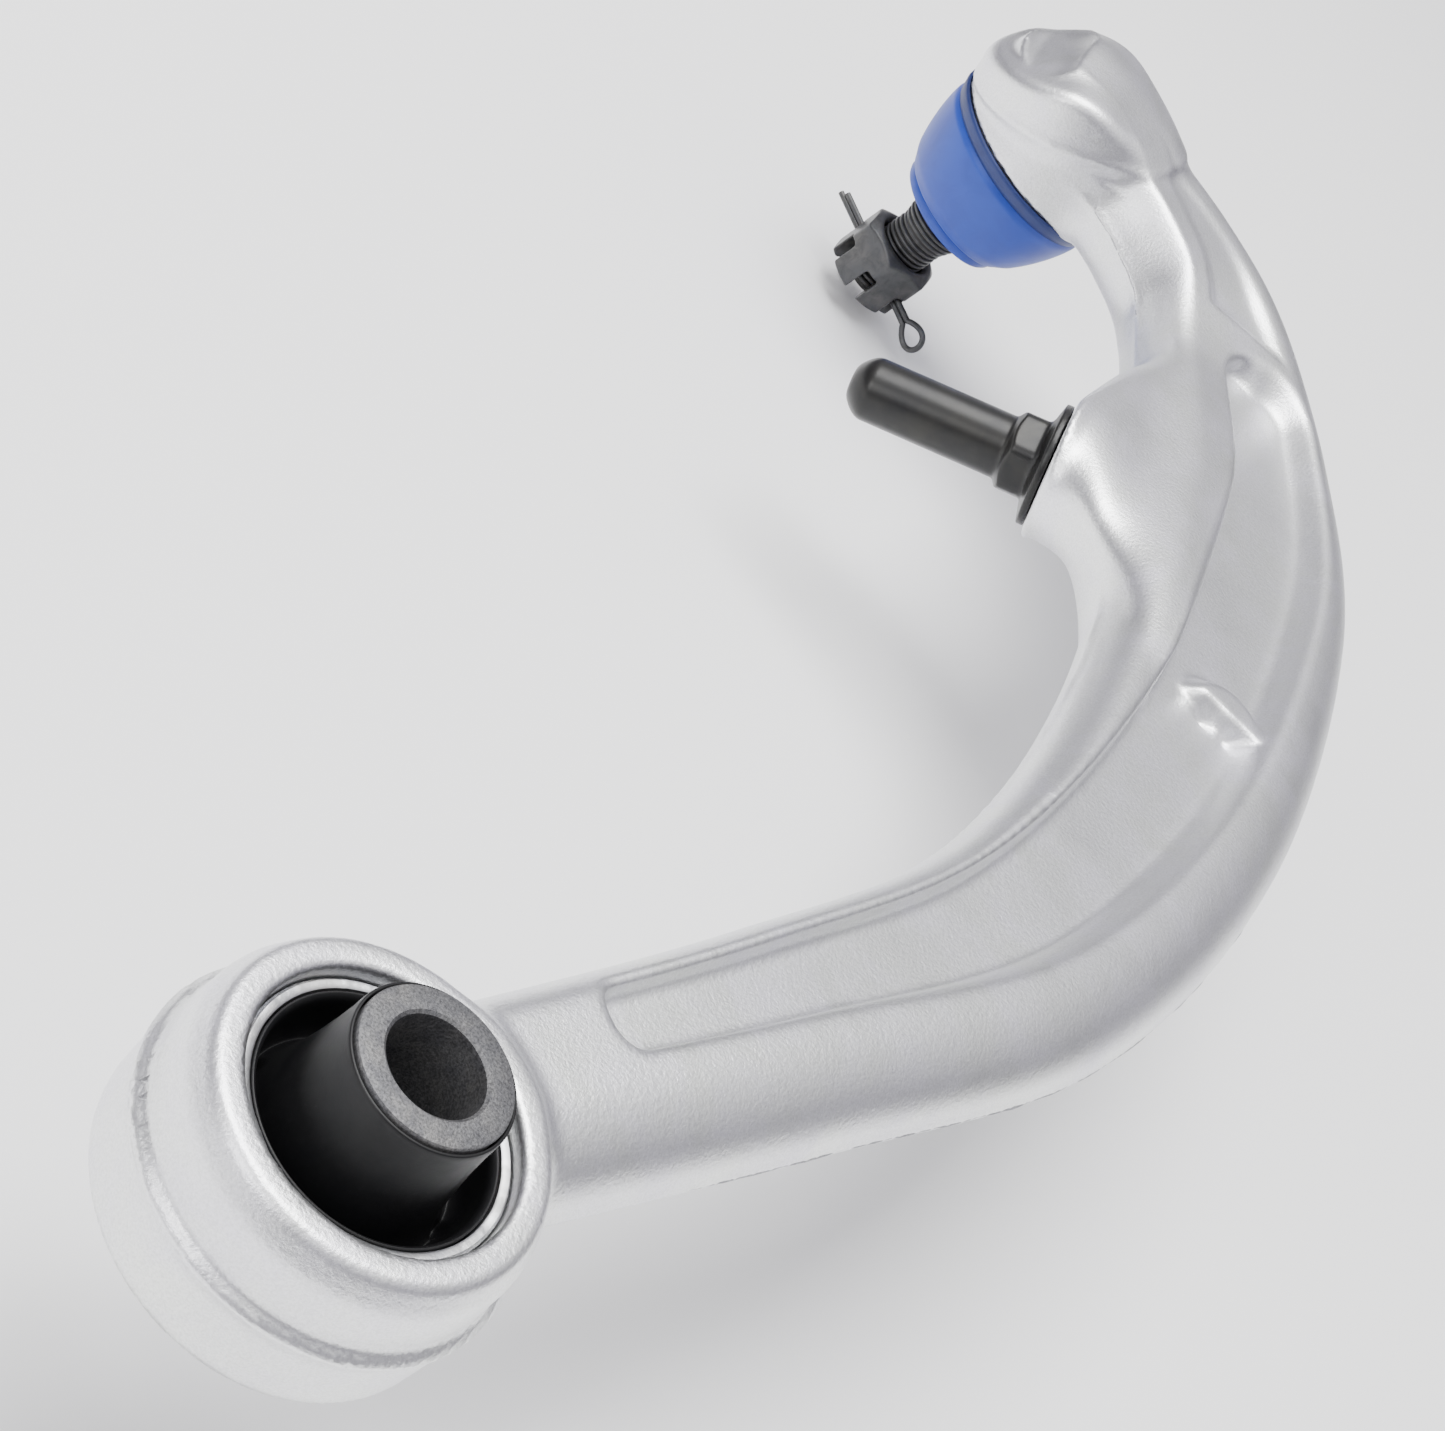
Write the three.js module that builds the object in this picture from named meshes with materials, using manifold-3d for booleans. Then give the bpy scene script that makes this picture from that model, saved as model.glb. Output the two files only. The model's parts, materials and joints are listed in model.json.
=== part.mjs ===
// Front lower control arm: a curved aluminium forging with a bonded rubber bush in its eye, a ball joint
// at its far end and a steel mounting pin on the inner side of its bend.
// Millimetres, +Z up. The origin is the middle of the bush: +Z runs along the bush axis, +X towards
// the ball joint. The arm bulges to -Y, and the mounting pin and its boss look to +Y.
import * as THREE from 'three';
import { mergeVertices } from 'three/addons/utils/BufferGeometryUtils.js';
import { LoftGeometry } from 'three/addons/geometries/LoftGeometry.js';
import Module from 'manifold-3d';

// ---- overall sizes ----
const ARM_REACH = 400; // bush axis to ball centre, along X
const ARM_BULGE = 95.5; // deepest sideways reach of the arm's centre line
const BALL_OFFSET_Y = -6;
const BALL_HEIGHT = 7;
const STUD_LEAN = THREE.MathUtils.degToRad(9); // stud leans from -Z towards +Y

// ---- arm section ----
const ARM_HALF_HEIGHT = 11.5;
const NECK_RISE = 9; // lift of the arm's middle plane at the ball joint
const OUTER_SHOULDER = 14; // width of the rounding on the bulging side
const INNER_SHOULDER = 8;
const CHANNEL_DEPTH = 5;
const CHANNEL_START = 0.045; // share of the centre line where the channel begins
const CHANNEL_FINISH = 0.625;
const CHANNEL_END_LENGTH = 0.045; // share of the centre line over which each end closes
const NARROW_INNER_RIM = 5.5; // inner rim near the eye
const WIDE_INNER_RIM = 18; // inner rim beside the boss
const NARROW_OUTER_RIM = 10.5; // outer rim beside the ball joint
const WIDE_OUTER_RIM = 16.5; // outer rim near the eye

// ---- eye and bush ----
const EYE_BORE_RADIUS = 19.8;
const EYE_WALL = 7.3;
const EYE_HALF_HEIGHT = 13.2;
const EYE_DRAFT = 1.1; // the eye is this much slimmer at its faces than at the parting line
const EYE_FILLET = 1.2;
const CAN_WALL = 1.5;
const CAN_RECESS = 2.4; // the can's rims stand this far inside the eye's faces
const SLEEVE_RADIUS = 11.2;
const SLEEVE_HALF_LENGTH = 23.5;
const BOLT_BORE_RADIUS = 7.1;
const SLEEVE_CHAMFER = 0.6;
const RUBBER_SKIN = 0.6;
const RUBBER_TROUGH_HEIGHT = 2.6; // height of the trough's bottom above the middle plane
const RUBBER_TROUGH_RISE = 1.8; // from the trough's bottom to its outer wall
const RUBBER_EDGE = 0.8; // bevel where the rubber meets the can
const RUBBER_LAND = 0.4; // bare length of sleeve beyond the rubber
const SLEEVE_EDGE = 0.3;

// ---- ball joint, along its own axis from the ball centre towards the stud's tip ----
const BALL_RADIUS = 12.5;
const SEAT_WALL = 2;
const SEAT_SPLIT = 2.5;
const SEAT_END = 7.5;
const RETAINER_THICKNESS = 2.2;
const RETAINER_CLEARANCE = 0.2; // the ring's bore is this much larger than the ball
const HOUSING_WALL = 9.5;
const HOUSING_MOUTH = 13;
const MOUTH_LIP = 0.9; // rolled lip that closes over the retaining ring
const BOOT_SEAT_STEP = 2; // the boot's seat is turned this much smaller than the housing's band
const BOOT_SEAT_AT = 8.5;
const BOOT_BEAD_PROUD = 0.6; // the boot's rim stands this far outside the housing's band
const BOOT_RING_WALL = 0.8;
const BOOT_ROOM = 1; // cut round the boot's rim, where the neck comes close to it
const BOOT_WALL = 2;
const BOOT_SPLIT = 24;
const BOOT_END = 35.5;
const BOOT_LIP_WALL = 3.5; // rubber round the ring in the boot's small end
const BOOT_LIP_HEIGHT = 3;
const BOOT_BELLY_INSET = 0.3; // the belly is this much smaller than the housing's band
const BOOT_ROUNDING = 0.75; // lower is blunter at the belly's small end
const NECK_RING_WALL = 1;
const NECK_RING_LENGTH = 3.3;
const STUD_NECK_RADIUS = 5.8;
const STUD_NECK_LENGTH = 3;
const TAPER_BIG_RADIUS = 9.4;
const TAPER_START = 30;
const THREAD_START = 43;
const THREAD_RADIUS = 7;
const STUD_END = 64;
const THREAD_CHAMFER = 1;
const TAPER_STEP = 0.6; // the taper ends this much larger than the thread

// ---- forged back of the housing, along its own axis from its parting line ----
const FORGED_TILT = THREE.MathUtils.degToRad(20); // the parting plane falls towards +Y
const FORGED_PROUD = 1.7; // the parting line stands this far outside the machined band
const FORGED_SHIFT = 2.4; // the forged axis stands this far to +Y of the stud axis at the parting line
const FORGED_SKIRT = 4.4; // reach below the parting line
const FORGED_FOOT_DRAFT = 2.4; // the skirt's foot is this much smaller than the parting line
const FORGED_CAP_DRAFT = 2.4; // the cap's shoulder is this much smaller than the parting line
const FORGED_CAP_WALL = 4.2; // metal over the socket's closed end
const FORGED_CROWN = 4.7; // height of the cap above its shoulder
const PARTING_LIFT = 5.8; // parting line above the ball centre, along the stud axis

// ---- castle nut and cotter pin ----
const NUT_AT = 49.5;
const NUT_HEIGHT = 16;
const NUT_ACROSS_FLATS = 21;
const NUT_SLOT_DEPTH = 8.5;
const NUT_SLOT_WIDTH = 4;
const NUT_CHAMFER = 1.6;
const COTTER_RADIUS = 1.5;
const COTTER_LIFT = 0.5; // clearance from the bottom of the nut's slots
const COTTER_EYE_RADIUS = 3;
const COTTER_REACH = 17; // from the stud axis to the eye's middle
const COTTER_TAIL = 22;
const COTTER_TURN = THREE.MathUtils.degToRad(120); // direction of the eye, about the stud axis

// ---- mounting pin, along its own axis from its seat on the boss ----
const PIN_REACH = 286; // bush axis to the pin's seat, along X
const PIN_STANDOFF = 48.49; // from the arm's centre line to the seat, along Y
const PIN_DROP = 3.5; // the seat's middle is this far below the arm's middle plane
const PIN_DROOP = THREE.MathUtils.degToRad(22.3);
const PIN_RADIUS = 7;
const PIN_LENGTH = 45.6;
const PIN_NOSE = 5;
const PIN_HEX_SHOULDER = 1.5; // the hexagon's flats stand this far outside the shank
const PIN_HEX_END = 10.2;
const PIN_FLANGE_RADIUS = 13.5;
const PIN_FLANGE_THICKNESS = 2.4;
const PIN_FLANGE_EDGE = 0.8;
const PIN_NOSE_FLAT = 3.6;
const PIN_NOSE_ROUND = 0.9;
const PIN_THREAD_LENGTH = 16;
const BOSS_RADIUS = 15.6;
const BOSS_ROOT_HALF_WIDTH = 49;
const BOSS_ROOT_SHIFT = 11; // the root spreads further on the ball joint's side
const BOSS_ROOT_DEPTH = 13;
const BOSS_BURIED = 20; // reach of the root inside the arm

// ---- fits ----
const GAP = 0.3; // between pieces that touch on the real object
const THREAD_GAP = 0.35;

// ---- facets ----
const ROUND = 48;
const SMALL_ROUND = 32;
const ARM_STATIONS = 46;
const SHOULDER_STEPS = 5;
const BALL_STEPS = 10;
const CHANNEL_STEPS = 30;
const EYE_ROUND = 64;

const wasm = await Module();
wasm.setup();

// ---- helpers ----

function toSolid(geometry) {
  const bare = geometry.index ? geometry.toNonIndexed() : geometry.clone();
  bare.deleteAttribute('normal');
  bare.deleteAttribute('uv');
  const merged = mergeVertices(bare, 1e-4);
  return new wasm.Manifold(new wasm.Mesh({
    numProp: 3,
    vertProperties: new Float32Array(merged.attributes.position.array),
    triVerts: new Uint32Array(merged.index.array),
  }));
}

function toGeometry(solid) {
  const mesh = solid.getMesh();
  const geometry = new THREE.BufferGeometry();
  geometry.setAttribute('position', new THREE.BufferAttribute(mesh.vertProperties, 3));
  geometry.setIndex(new THREE.BufferAttribute(mesh.triVerts, 1));
  geometry.computeVertexNormals();
  return geometry;
}

// A turned solid about Z. Profile points are [radius, height], listed with the height rising on the
// outside, and the profile either starts and ends on the axis or is closed on itself as a ring.
function turned(profile, segments = ROUND) {
  const points = profile.map(([radius, height]) => new THREE.Vector2(radius, height));
  if (profile[0][0] > 0) points.push(points[0].clone());
  return new THREE.LatheGeometry(points, segments).rotateX(Math.PI / 2);
}

function tube(innerRadius, outerRadius, low, high, segments = ROUND) {
  return turned([[innerRadius, low], [outerRadius, low], [outerRadius, high], [innerRadius, high]], segments);
}

function rod(radius, low, high, segments = ROUND) {
  return turned([[0, low], [radius, low], [radius, high], [0, high]], segments);
}

function hexPrism(acrossFlats, low, high) {
  const corner = acrossFlats / Math.sqrt(3);
  const prism = new THREE.CylinderGeometry(corner, corner, high - low, 6).rotateX(Math.PI / 2);
  return prism.translate(0, 0, (low + high) / 2);
}

// Points of a sphere's profile between two heights.
function sphereProfile(radius, low, high, steps) {
  const from = Math.asin(low / radius);
  const to = Math.asin(high / radius);
  return Array.from({ length: steps + 1 }, (_, i) => {
    const angle = from + (to - from) * i / steps;
    return [radius * Math.cos(angle), radius * Math.sin(angle)];
  });
}

function finish(name, geometry, color, roughness, metalness) {
  const mesh = new THREE.Mesh(geometry, new THREE.MeshStandardMaterial({ color, roughness, metalness }));
  mesh.name = name;
  return mesh;
}

// ---- places ----

const ballCentre = new THREE.Vector3(ARM_REACH, BALL_OFFSET_Y, BALL_HEIGHT);
const ballFrame = new THREE.Matrix4().makeRotationX(Math.PI + STUD_LEAN).setPosition(ballCentre);

// ---- the arm's centre line ----
// Each station: share of the reach, share of the bulge, share of the neck's rise, and the half width.
const PIN_SEARCH_END = 0.9; // the line runs steadily away from the bush up to this share
const STATIONS = [
  [0, 0, 0, 14.5],
  [0.185, 0.466, 0, 17.8],
  [0.346, 0.817, 0, 22.2],
  [0.539, 0.979, 0, 27],
  [0.745, 0.962, 0, 30],
  [0.873, 0.828, 0.05, 28.6],
  [0.947, 0.662, 0.35, 25.2],
  [0.983, 0.434, 0.7, 22.2],
  [0.999, 0.16, 0.95, 20],
  [1.002, -0.02, 1, 18.8],
];
const spine = new THREE.CatmullRomCurve3(
  STATIONS.map(([reach, bulge, rise]) =>
    new THREE.Vector3(reach * ARM_REACH, -bulge * ARM_BULGE, rise * NECK_RISE)),
  false, 'catmullrom');
const widths = new THREE.CatmullRomCurve3(
  STATIONS.map(([, , , half]) => new THREE.Vector3(half, 0, 0)), false, 'catmullrom');

// Place, sideways direction (towards the inner side of the bend) and half width at share t of the arm.
function armAt(t) {
  const point = spine.getPoint(t);
  const ahead = spine.getTangent(t).setZ(0).normalize();
  const inward = new THREE.Vector3(0, 0, 1).cross(ahead);
  return { point, inward, half: widths.getPoint(t).x };
}

// Share of the arm at which its centre line is a given distance from the bush along X.
function shareAtReach(reach) {
  let low = 0;
  let high = PIN_SEARCH_END;
  for (let halving = 0; halving < 40; halving++) {
    const middle = (low + high) / 2;
    if (spine.getPoint(middle).x < reach) low = middle;
    else high = middle;
  }
  return low;
}

const pinAt = new THREE.Vector3(
  PIN_REACH, spine.getPoint(shareAtReach(PIN_REACH)).y + PIN_STANDOFF, -PIN_DROP);
const pinFrame = new THREE.Matrix4().makeRotationX(-Math.PI / 2 - PIN_DROOP).setPosition(pinAt);

// One cross section: flat top and bottom, each side rounded by a quarter ellipse above and below.
function armSection(t) {
  const { point, inward, half } = armAt(t);
  const inner = Math.min(INNER_SHOULDER, half * 0.5);
  const outer = Math.min(OUTER_SHOULDER, half * 0.8);
  const ring = [];
  for (let quarter = 0; quarter < 4; quarter++) {
    const onInner = quarter === 0 || quarter === 3;
    const shoulder = onInner ? inner : outer;
    const middle = onInner ? half - inner : outer - half;
    for (let step = 0; step <= SHOULDER_STEPS; step++) {
      if (step === 0 && quarter % 2 === 0 && quarter > 0) continue;
      if (step === SHOULDER_STEPS && quarter === 3) continue;
      const angle = (quarter + step / SHOULDER_STEPS) * Math.PI / 2;
      ring.push(point.clone()
        .addScaledVector(inward, middle + shoulder * Math.cos(angle))
        .add(new THREE.Vector3(0, 0, ARM_HALF_HEIGHT * Math.sin(angle))));
    }
  }
  return ring;
}

// ---- lightening channel: a pocket between two rims on each face ----
function channelGeometry() {
  const inside = [];
  const outside = [];
  for (let i = 0; i <= CHANNEL_STEPS; i++) {
    const share = (1 - Math.cos(Math.PI * i / CHANNEL_STEPS)) / 2;
    const t = THREE.MathUtils.lerp(CHANNEL_START, CHANNEL_FINISH, share);
    const { point, inward, half } = armAt(t);
    const innerRim = THREE.MathUtils.lerp(
      NARROW_INNER_RIM, WIDE_INNER_RIM, THREE.MathUtils.smoothstep(t, 0.2, 0.5));
    const outerRim = THREE.MathUtils.lerp(
      WIDE_OUTER_RIM, NARROW_OUTER_RIM, THREE.MathUtils.smoothstep(t, 0.3, 0.6));
    const toEnd = Math.min(t - CHANNEL_START, CHANNEL_FINISH - t) / CHANNEL_END_LENGTH;
    const open = Math.sqrt(1 - (1 - Math.min(1, toEnd)) ** 2);
    const middle = (outerRim - innerRim) / 2;
    const reach = (half - (innerRim + outerRim) / 2) * open;
    inside.push(point.clone().addScaledVector(inward, middle + reach));
    if (i > 0 && i < CHANNEL_STEPS) outside.unshift(point.clone().addScaledVector(inward, middle - reach));
  }
  const shape = new THREE.Shape([...outside, ...inside].map((p) => new THREE.Vector2(p.x, p.y)));
  return new THREE.ExtrudeGeometry(shape, { depth: 2 * ARM_HALF_HEIGHT, bevelEnabled: false });
}

// ---- pieces of the forging ----

function eyeGeometry() {
  const rim = EYE_BORE_RADIUS + EYE_WALL;
  const face = rim - EYE_DRAFT;
  const shoulder = EYE_HALF_HEIGHT - EYE_FILLET;
  return turned([
    [0, -EYE_HALF_HEIGHT], [face - EYE_FILLET, -EYE_HALF_HEIGHT], [face, -shoulder],
    [rim, 0],
    [face, shoulder], [face - EYE_FILLET, EYE_HALF_HEIGHT], [0, EYE_HALF_HEIGHT],
  ], EYE_ROUND);
}

const seatRadius = BALL_RADIUS + SEAT_WALL;
const socketRadius = seatRadius + GAP;
const landRadius = socketRadius + HOUSING_WALL;
const bootSeatRadius = landRadius - BOOT_SEAT_STEP;
const bootBeadRadius = landRadius + BOOT_BEAD_PROUD;
const bootBellyRadius = landRadius - BOOT_BELLY_INSET;
const forgedRadius = landRadius + FORGED_PROUD;
const retainerAt = SEAT_END + GAP;
const retainerBore = BALL_RADIUS + RETAINER_CLEARANCE;

// Machined band and boot seat, turned about the stud axis.
function bandGeometry() {
  return turned([
    [0, -PARTING_LIFT], [landRadius, -PARTING_LIFT], [landRadius, BOOT_SEAT_AT],
    [bootSeatRadius, BOOT_SEAT_AT], [bootSeatRadius, HOUSING_MOUTH], [0, HOUSING_MOUTH],
  ]).applyMatrix4(ballFrame);
}

// The forged back is round about an axis of its own, square to the parting plane.
function forgedBackGeometry() {
  const foot = new THREE.Vector3(0, -FORGED_SHIFT, -PARTING_LIFT).applyMatrix4(ballFrame);
  const frame = new THREE.Matrix4().makeRotationX(-FORGED_TILT).setPosition(foot);
  const shoulder = forgedRadius - FORGED_CAP_DRAFT;
  const height = socketRadius - PARTING_LIFT + FORGED_CAP_WALL;
  const ledge = height - FORGED_CROWN;
  return turned([
    [0, -FORGED_SKIRT], [forgedRadius - FORGED_FOOT_DRAFT, -FORGED_SKIRT],
    [forgedRadius - FORGED_FOOT_DRAFT / 4, -FORGED_SKIRT / 2], [forgedRadius, 0],
    [shoulder + 1, ledge - 1.5], [shoulder - 1, ledge + 1],
    [shoulder * 0.75, height - FORGED_CROWN / 3], [shoulder * 0.4, height], [0, height],
  ]).applyMatrix4(frame);
}

function socketGeometry() {
  const lipRadius = socketRadius - MOUTH_LIP;
  const lipAt = retainerAt + RETAINER_THICKNESS + 2 * GAP;
  return turned([
    ...sphereProfile(socketRadius, -socketRadius, 0, BALL_STEPS), [socketRadius, lipAt], [lipRadius, lipAt],
    [lipRadius, HOUSING_MOUTH + 5], [0, HOUSING_MOUTH + 5],
  ]).applyMatrix4(ballFrame);
}

// Room for the boot's rim, turned with the band.
function bootRoomGeometry() {
  return tube(bootSeatRadius, bootBeadRadius + BOOT_ROOM, BOOT_SEAT_AT, BOOT_SPLIT).applyMatrix4(ballFrame);
}

// The boss grows from its round seat into a wide flat root inside the arm.
function bossGeometry() {
  const ringAt = (place) => Array.from(
    { length: SMALL_ROUND }, (_, i) => place(i / SMALL_ROUND * Math.PI * 2));
  const onSeat = ringAt((angle) => new THREE.Vector3(Math.cos(angle), Math.sin(angle), 0)
    .multiplyScalar(BOSS_RADIUS).applyMatrix4(pinFrame));
  const rootRing = (depth) => ringAt((angle) => new THREE.Vector3(
    pinAt.x + BOSS_ROOT_SHIFT + BOSS_ROOT_HALF_WIDTH * Math.cos(angle), pinAt.y - depth,
    -(ARM_HALF_HEIGHT - 0.5) * Math.sin(angle)));
  const rings = [rootRing(BOSS_ROOT_DEPTH + BOSS_BURIED), rootRing(BOSS_ROOT_DEPTH), onSeat];
  return new LoftGeometry(rings, { capStart: true, capEnd: true });
}

function armForging() {
  const stations = Array.from({ length: ARM_STATIONS + 1 }, (_, i) => armSection(i / ARM_STATIONS));
  const pocket = channelGeometry();
  const floor = ARM_HALF_HEIGHT - CHANNEL_DEPTH;
  const pinHole = rod(PIN_RADIUS + GAP, -PIN_THREAD_LENGTH - GAP, PIN_LENGTH, SMALL_ROUND)
    .applyMatrix4(pinFrame);
  return toSolid(new LoftGeometry(stations, { capStart: true, capEnd: true }))
    .add(toSolid(bossGeometry()))
    .subtract(toSolid(pocket.clone().translate(0, 0, floor)))
    .subtract(toSolid(pocket.clone().translate(0, 0, -floor - 2 * ARM_HALF_HEIGHT)))
    .add(toSolid(eyeGeometry()))
    .add(toSolid(bandGeometry()))
    .add(toSolid(forgedBackGeometry()))
    .subtract(toSolid(rod(EYE_BORE_RADIUS, -2 * EYE_HALF_HEIGHT, 2 * EYE_HALF_HEIGHT, EYE_ROUND)))
    .subtract(toSolid(bootRoomGeometry()))
    .subtract(toSolid(socketGeometry()))
    .subtract(toSolid(pinHole));
}

// ---- bush ----

const canOuter = EYE_BORE_RADIUS - GAP;
const canInner = canOuter - CAN_WALL;
const canHalfLength = EYE_HALF_HEIGHT - CAN_RECESS;

function rubberGeometry() {
  const bond = SLEEVE_RADIUS + GAP;
  const wall = canInner - GAP;
  const skin = bond + RUBBER_SKIN;
  const room = wall - skin;
  const half = [
    [wall, canHalfLength - RUBBER_EDGE],
    [wall - 0.75 * RUBBER_EDGE, canHalfLength - 1.5 * RUBBER_EDGE],
    [wall - RUBBER_EDGE, RUBBER_TROUGH_HEIGHT + RUBBER_TROUGH_RISE],
    [wall - 0.25 * room, RUBBER_TROUGH_HEIGHT],
    [skin + 0.45 * room, RUBBER_TROUGH_HEIGHT + 0.8 * RUBBER_TROUGH_RISE],
    [skin + 0.2 * room, canHalfLength - RUBBER_TROUGH_RISE],
    [skin, 0.7 * SLEEVE_HALF_LENGTH],
    [skin, SLEEVE_HALF_LENGTH - RUBBER_LAND - RUBBER_SKIN],
    [bond, SLEEVE_HALF_LENGTH - RUBBER_LAND],
  ];
  const below = half.map(([radius, height]) => [radius, -height]).reverse();
  return turned([...below, ...half]);
}

function sleeveGeometry() {
  const end = SLEEVE_HALF_LENGTH;
  const chamfer = SLEEVE_CHAMFER;
  return turned([
    [BOLT_BORE_RADIUS + chamfer, -end], [SLEEVE_RADIUS - SLEEVE_EDGE, -end],
    [SLEEVE_RADIUS, -end + SLEEVE_EDGE], [SLEEVE_RADIUS, end - SLEEVE_EDGE],
    [SLEEVE_RADIUS - SLEEVE_EDGE, end], [BOLT_BORE_RADIUS + chamfer, end],
    [BOLT_BORE_RADIUS, end - chamfer], [BOLT_BORE_RADIUS, -end + chamfer],
  ]);
}

// ---- mounting pin ----

function pinGeometry() {
  const acrossFlats = 2 * (PIN_RADIUS + PIN_HEX_SHOULDER);
  const dish = acrossFlats / 2 + PIN_FLANGE_EDGE;
  const body = turned([
    [0, -PIN_THREAD_LENGTH], [PIN_RADIUS, -PIN_THREAD_LENGTH], [PIN_RADIUS, GAP],
    [PIN_FLANGE_RADIUS, GAP], [PIN_FLANGE_RADIUS, GAP + PIN_FLANGE_EDGE], [dish, PIN_FLANGE_THICKNESS],
    [PIN_RADIUS, PIN_FLANGE_THICKNESS], [PIN_RADIUS, PIN_LENGTH - PIN_NOSE],
    [PIN_RADIUS - PIN_NOSE_ROUND, PIN_LENGTH - PIN_NOSE / 2], [PIN_NOSE_FLAT, PIN_LENGTH], [0, PIN_LENGTH],
  ], SMALL_ROUND);
  const hex = hexPrism(acrossFlats, PIN_FLANGE_THICKNESS - PIN_FLANGE_EDGE, PIN_HEX_END);
  return toSolid(body).add(toSolid(hex));
}

// ---- ball joint ----

const cotterAt = NUT_AT + NUT_HEIGHT - NUT_SLOT_DEPTH + COTTER_RADIUS + COTTER_LIFT;

function studGeometry() {
  const neckAt = Math.sqrt(BALL_RADIUS ** 2 - STUD_NECK_RADIUS ** 2);
  const profile = [
    [0, -BALL_RADIUS], ...sphereProfile(BALL_RADIUS, -BALL_RADIUS, neckAt, BALL_STEPS).slice(1),
    [STUD_NECK_RADIUS, neckAt + STUD_NECK_LENGTH], [TAPER_BIG_RADIUS, TAPER_START],
    [THREAD_RADIUS + TAPER_STEP, THREAD_START], [THREAD_RADIUS, THREAD_START + THREAD_CHAMFER],
    [THREAD_RADIUS, STUD_END - THREAD_CHAMFER], [THREAD_RADIUS - THREAD_CHAMFER, STUD_END], [0, STUD_END],
  ];
  const cross = rod(COTTER_RADIUS + GAP, -2 * THREAD_RADIUS, 2 * THREAD_RADIUS, 12)
    .rotateX(-Math.PI / 2).rotateZ(COTTER_TURN - Math.PI / 2).translate(0, 0, cotterAt);
  return toSolid(turned(profile, SMALL_ROUND)).subtract(toSolid(cross));
}

function seatGeometry() {
  const inner = BALL_RADIUS + GAP;
  const bowl = sphereProfile(inner, -inner, SEAT_SPLIT, BALL_STEPS).slice(1).reverse();
  const back = sphereProfile(seatRadius, -seatRadius, 0, BALL_STEPS);
  return turned([...back, [seatRadius, SEAT_SPLIT], ...bowl, [0, -inner]], SMALL_ROUND);
}

function seatRingGeometry() {
  const bowl = sphereProfile(BALL_RADIUS + GAP, SEAT_SPLIT + GAP, SEAT_END, 4).reverse();
  return turned([[seatRadius, SEAT_SPLIT + GAP], [seatRadius, SEAT_END], ...bowl], SMALL_ROUND);
}

const neckRingInner = TAPER_BIG_RADIUS + 2 * GAP;
const neckRingOuter = neckRingInner + NECK_RING_WALL;
const bootLipRadius = neckRingOuter + GAP + BOOT_LIP_WALL;

// Outer profile of the boot between its bead and its lip.
function bootProfile(from, to, steps) {
  return Array.from({ length: steps + 1 }, (_, i) => {
    const at = from + (to - from) * i / steps;
    const share = (at - HOUSING_MOUTH) / (BOOT_END - HOUSING_MOUTH);
    const fullness = (1 - share ** (2 * BOOT_ROUNDING)) ** BOOT_ROUNDING;
    return [bootLipRadius + (bootBellyRadius - bootLipRadius) * fullness, at];
  });
}

function bootSkirt() {
  const inner = bootSeatRadius + 2 * GAP + BOOT_RING_WALL;
  const outline = bootProfile(HOUSING_MOUTH + 2, BOOT_SPLIT - GAP / 2, 4);
  const lining = outline.map(([radius, at]) => [radius - BOOT_WALL, at]).reverse();
  lining[lining.length - 1][1] = HOUSING_MOUTH + 2.5;
  return turned([
    [inner, BOOT_SEAT_AT + GAP], [bootBeadRadius, BOOT_SEAT_AT + GAP], [bootBeadRadius, HOUSING_MOUTH],
    ...outline, ...lining, [inner, HOUSING_MOUTH + 1],
  ]);
}

function bootNeck() {
  const lipAt = BOOT_END - BOOT_LIP_HEIGHT;
  const outline = bootProfile(BOOT_SPLIT + GAP / 2, lipAt, 4);
  const lining = outline.map(([radius, at]) => [radius - BOOT_WALL, at]).reverse().slice(1);
  return turned([
    ...outline, [bootLipRadius, lipAt + GAP], [bootLipRadius, BOOT_END],
    [neckRingOuter + GAP, BOOT_END], [neckRingOuter + GAP, lipAt - 0.6], ...lining,
  ]);
}

function nutGeometry() {
  const top = NUT_AT + NUT_HEIGHT;
  const corner = NUT_ACROSS_FLATS / Math.sqrt(3);
  const flat = NUT_ACROSS_FLATS / 2;
  const chamfered = turned([
    [0, NUT_AT], [flat - GAP, NUT_AT], [corner, NUT_AT + NUT_CHAMFER], [corner, top - NUT_CHAMFER],
    [flat - GAP, top], [0, top],
  ]);
  let nut = toSolid(hexPrism(NUT_ACROSS_FLATS, NUT_AT, top)).intersect(toSolid(chamfered))
    .subtract(toSolid(rod(THREAD_RADIUS + THREAD_GAP, NUT_AT - 1, top + 1, SMALL_ROUND)));
  for (let i = 0; i < 3; i++) {
    const slot = new THREE.BoxGeometry(2 * NUT_ACROSS_FLATS, NUT_SLOT_WIDTH, 2 * NUT_SLOT_DEPTH)
      .translate(0, 0, top).rotateZ(COTTER_TURN + i * Math.PI / 3);
    nut = nut.subtract(toSolid(slot));
  }
  return nut;
}

function cotterGeometry() {
  const eye = new THREE.TorusGeometry(COTTER_EYE_RADIUS, COTTER_RADIUS, 8, 20)
    .rotateX(Math.PI / 2).translate(COTTER_REACH + COTTER_EYE_RADIUS, 0, 0);
  const legs = rod(COTTER_RADIUS, -COTTER_TAIL, COTTER_REACH + 0.5, 12).rotateY(Math.PI / 2);
  const pin = toGeometry(toSolid(eye).add(toSolid(legs)));
  return pin.rotateZ(COTTER_TURN).translate(0, 0, cotterAt);
}

// ---- assembly ----

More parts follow.
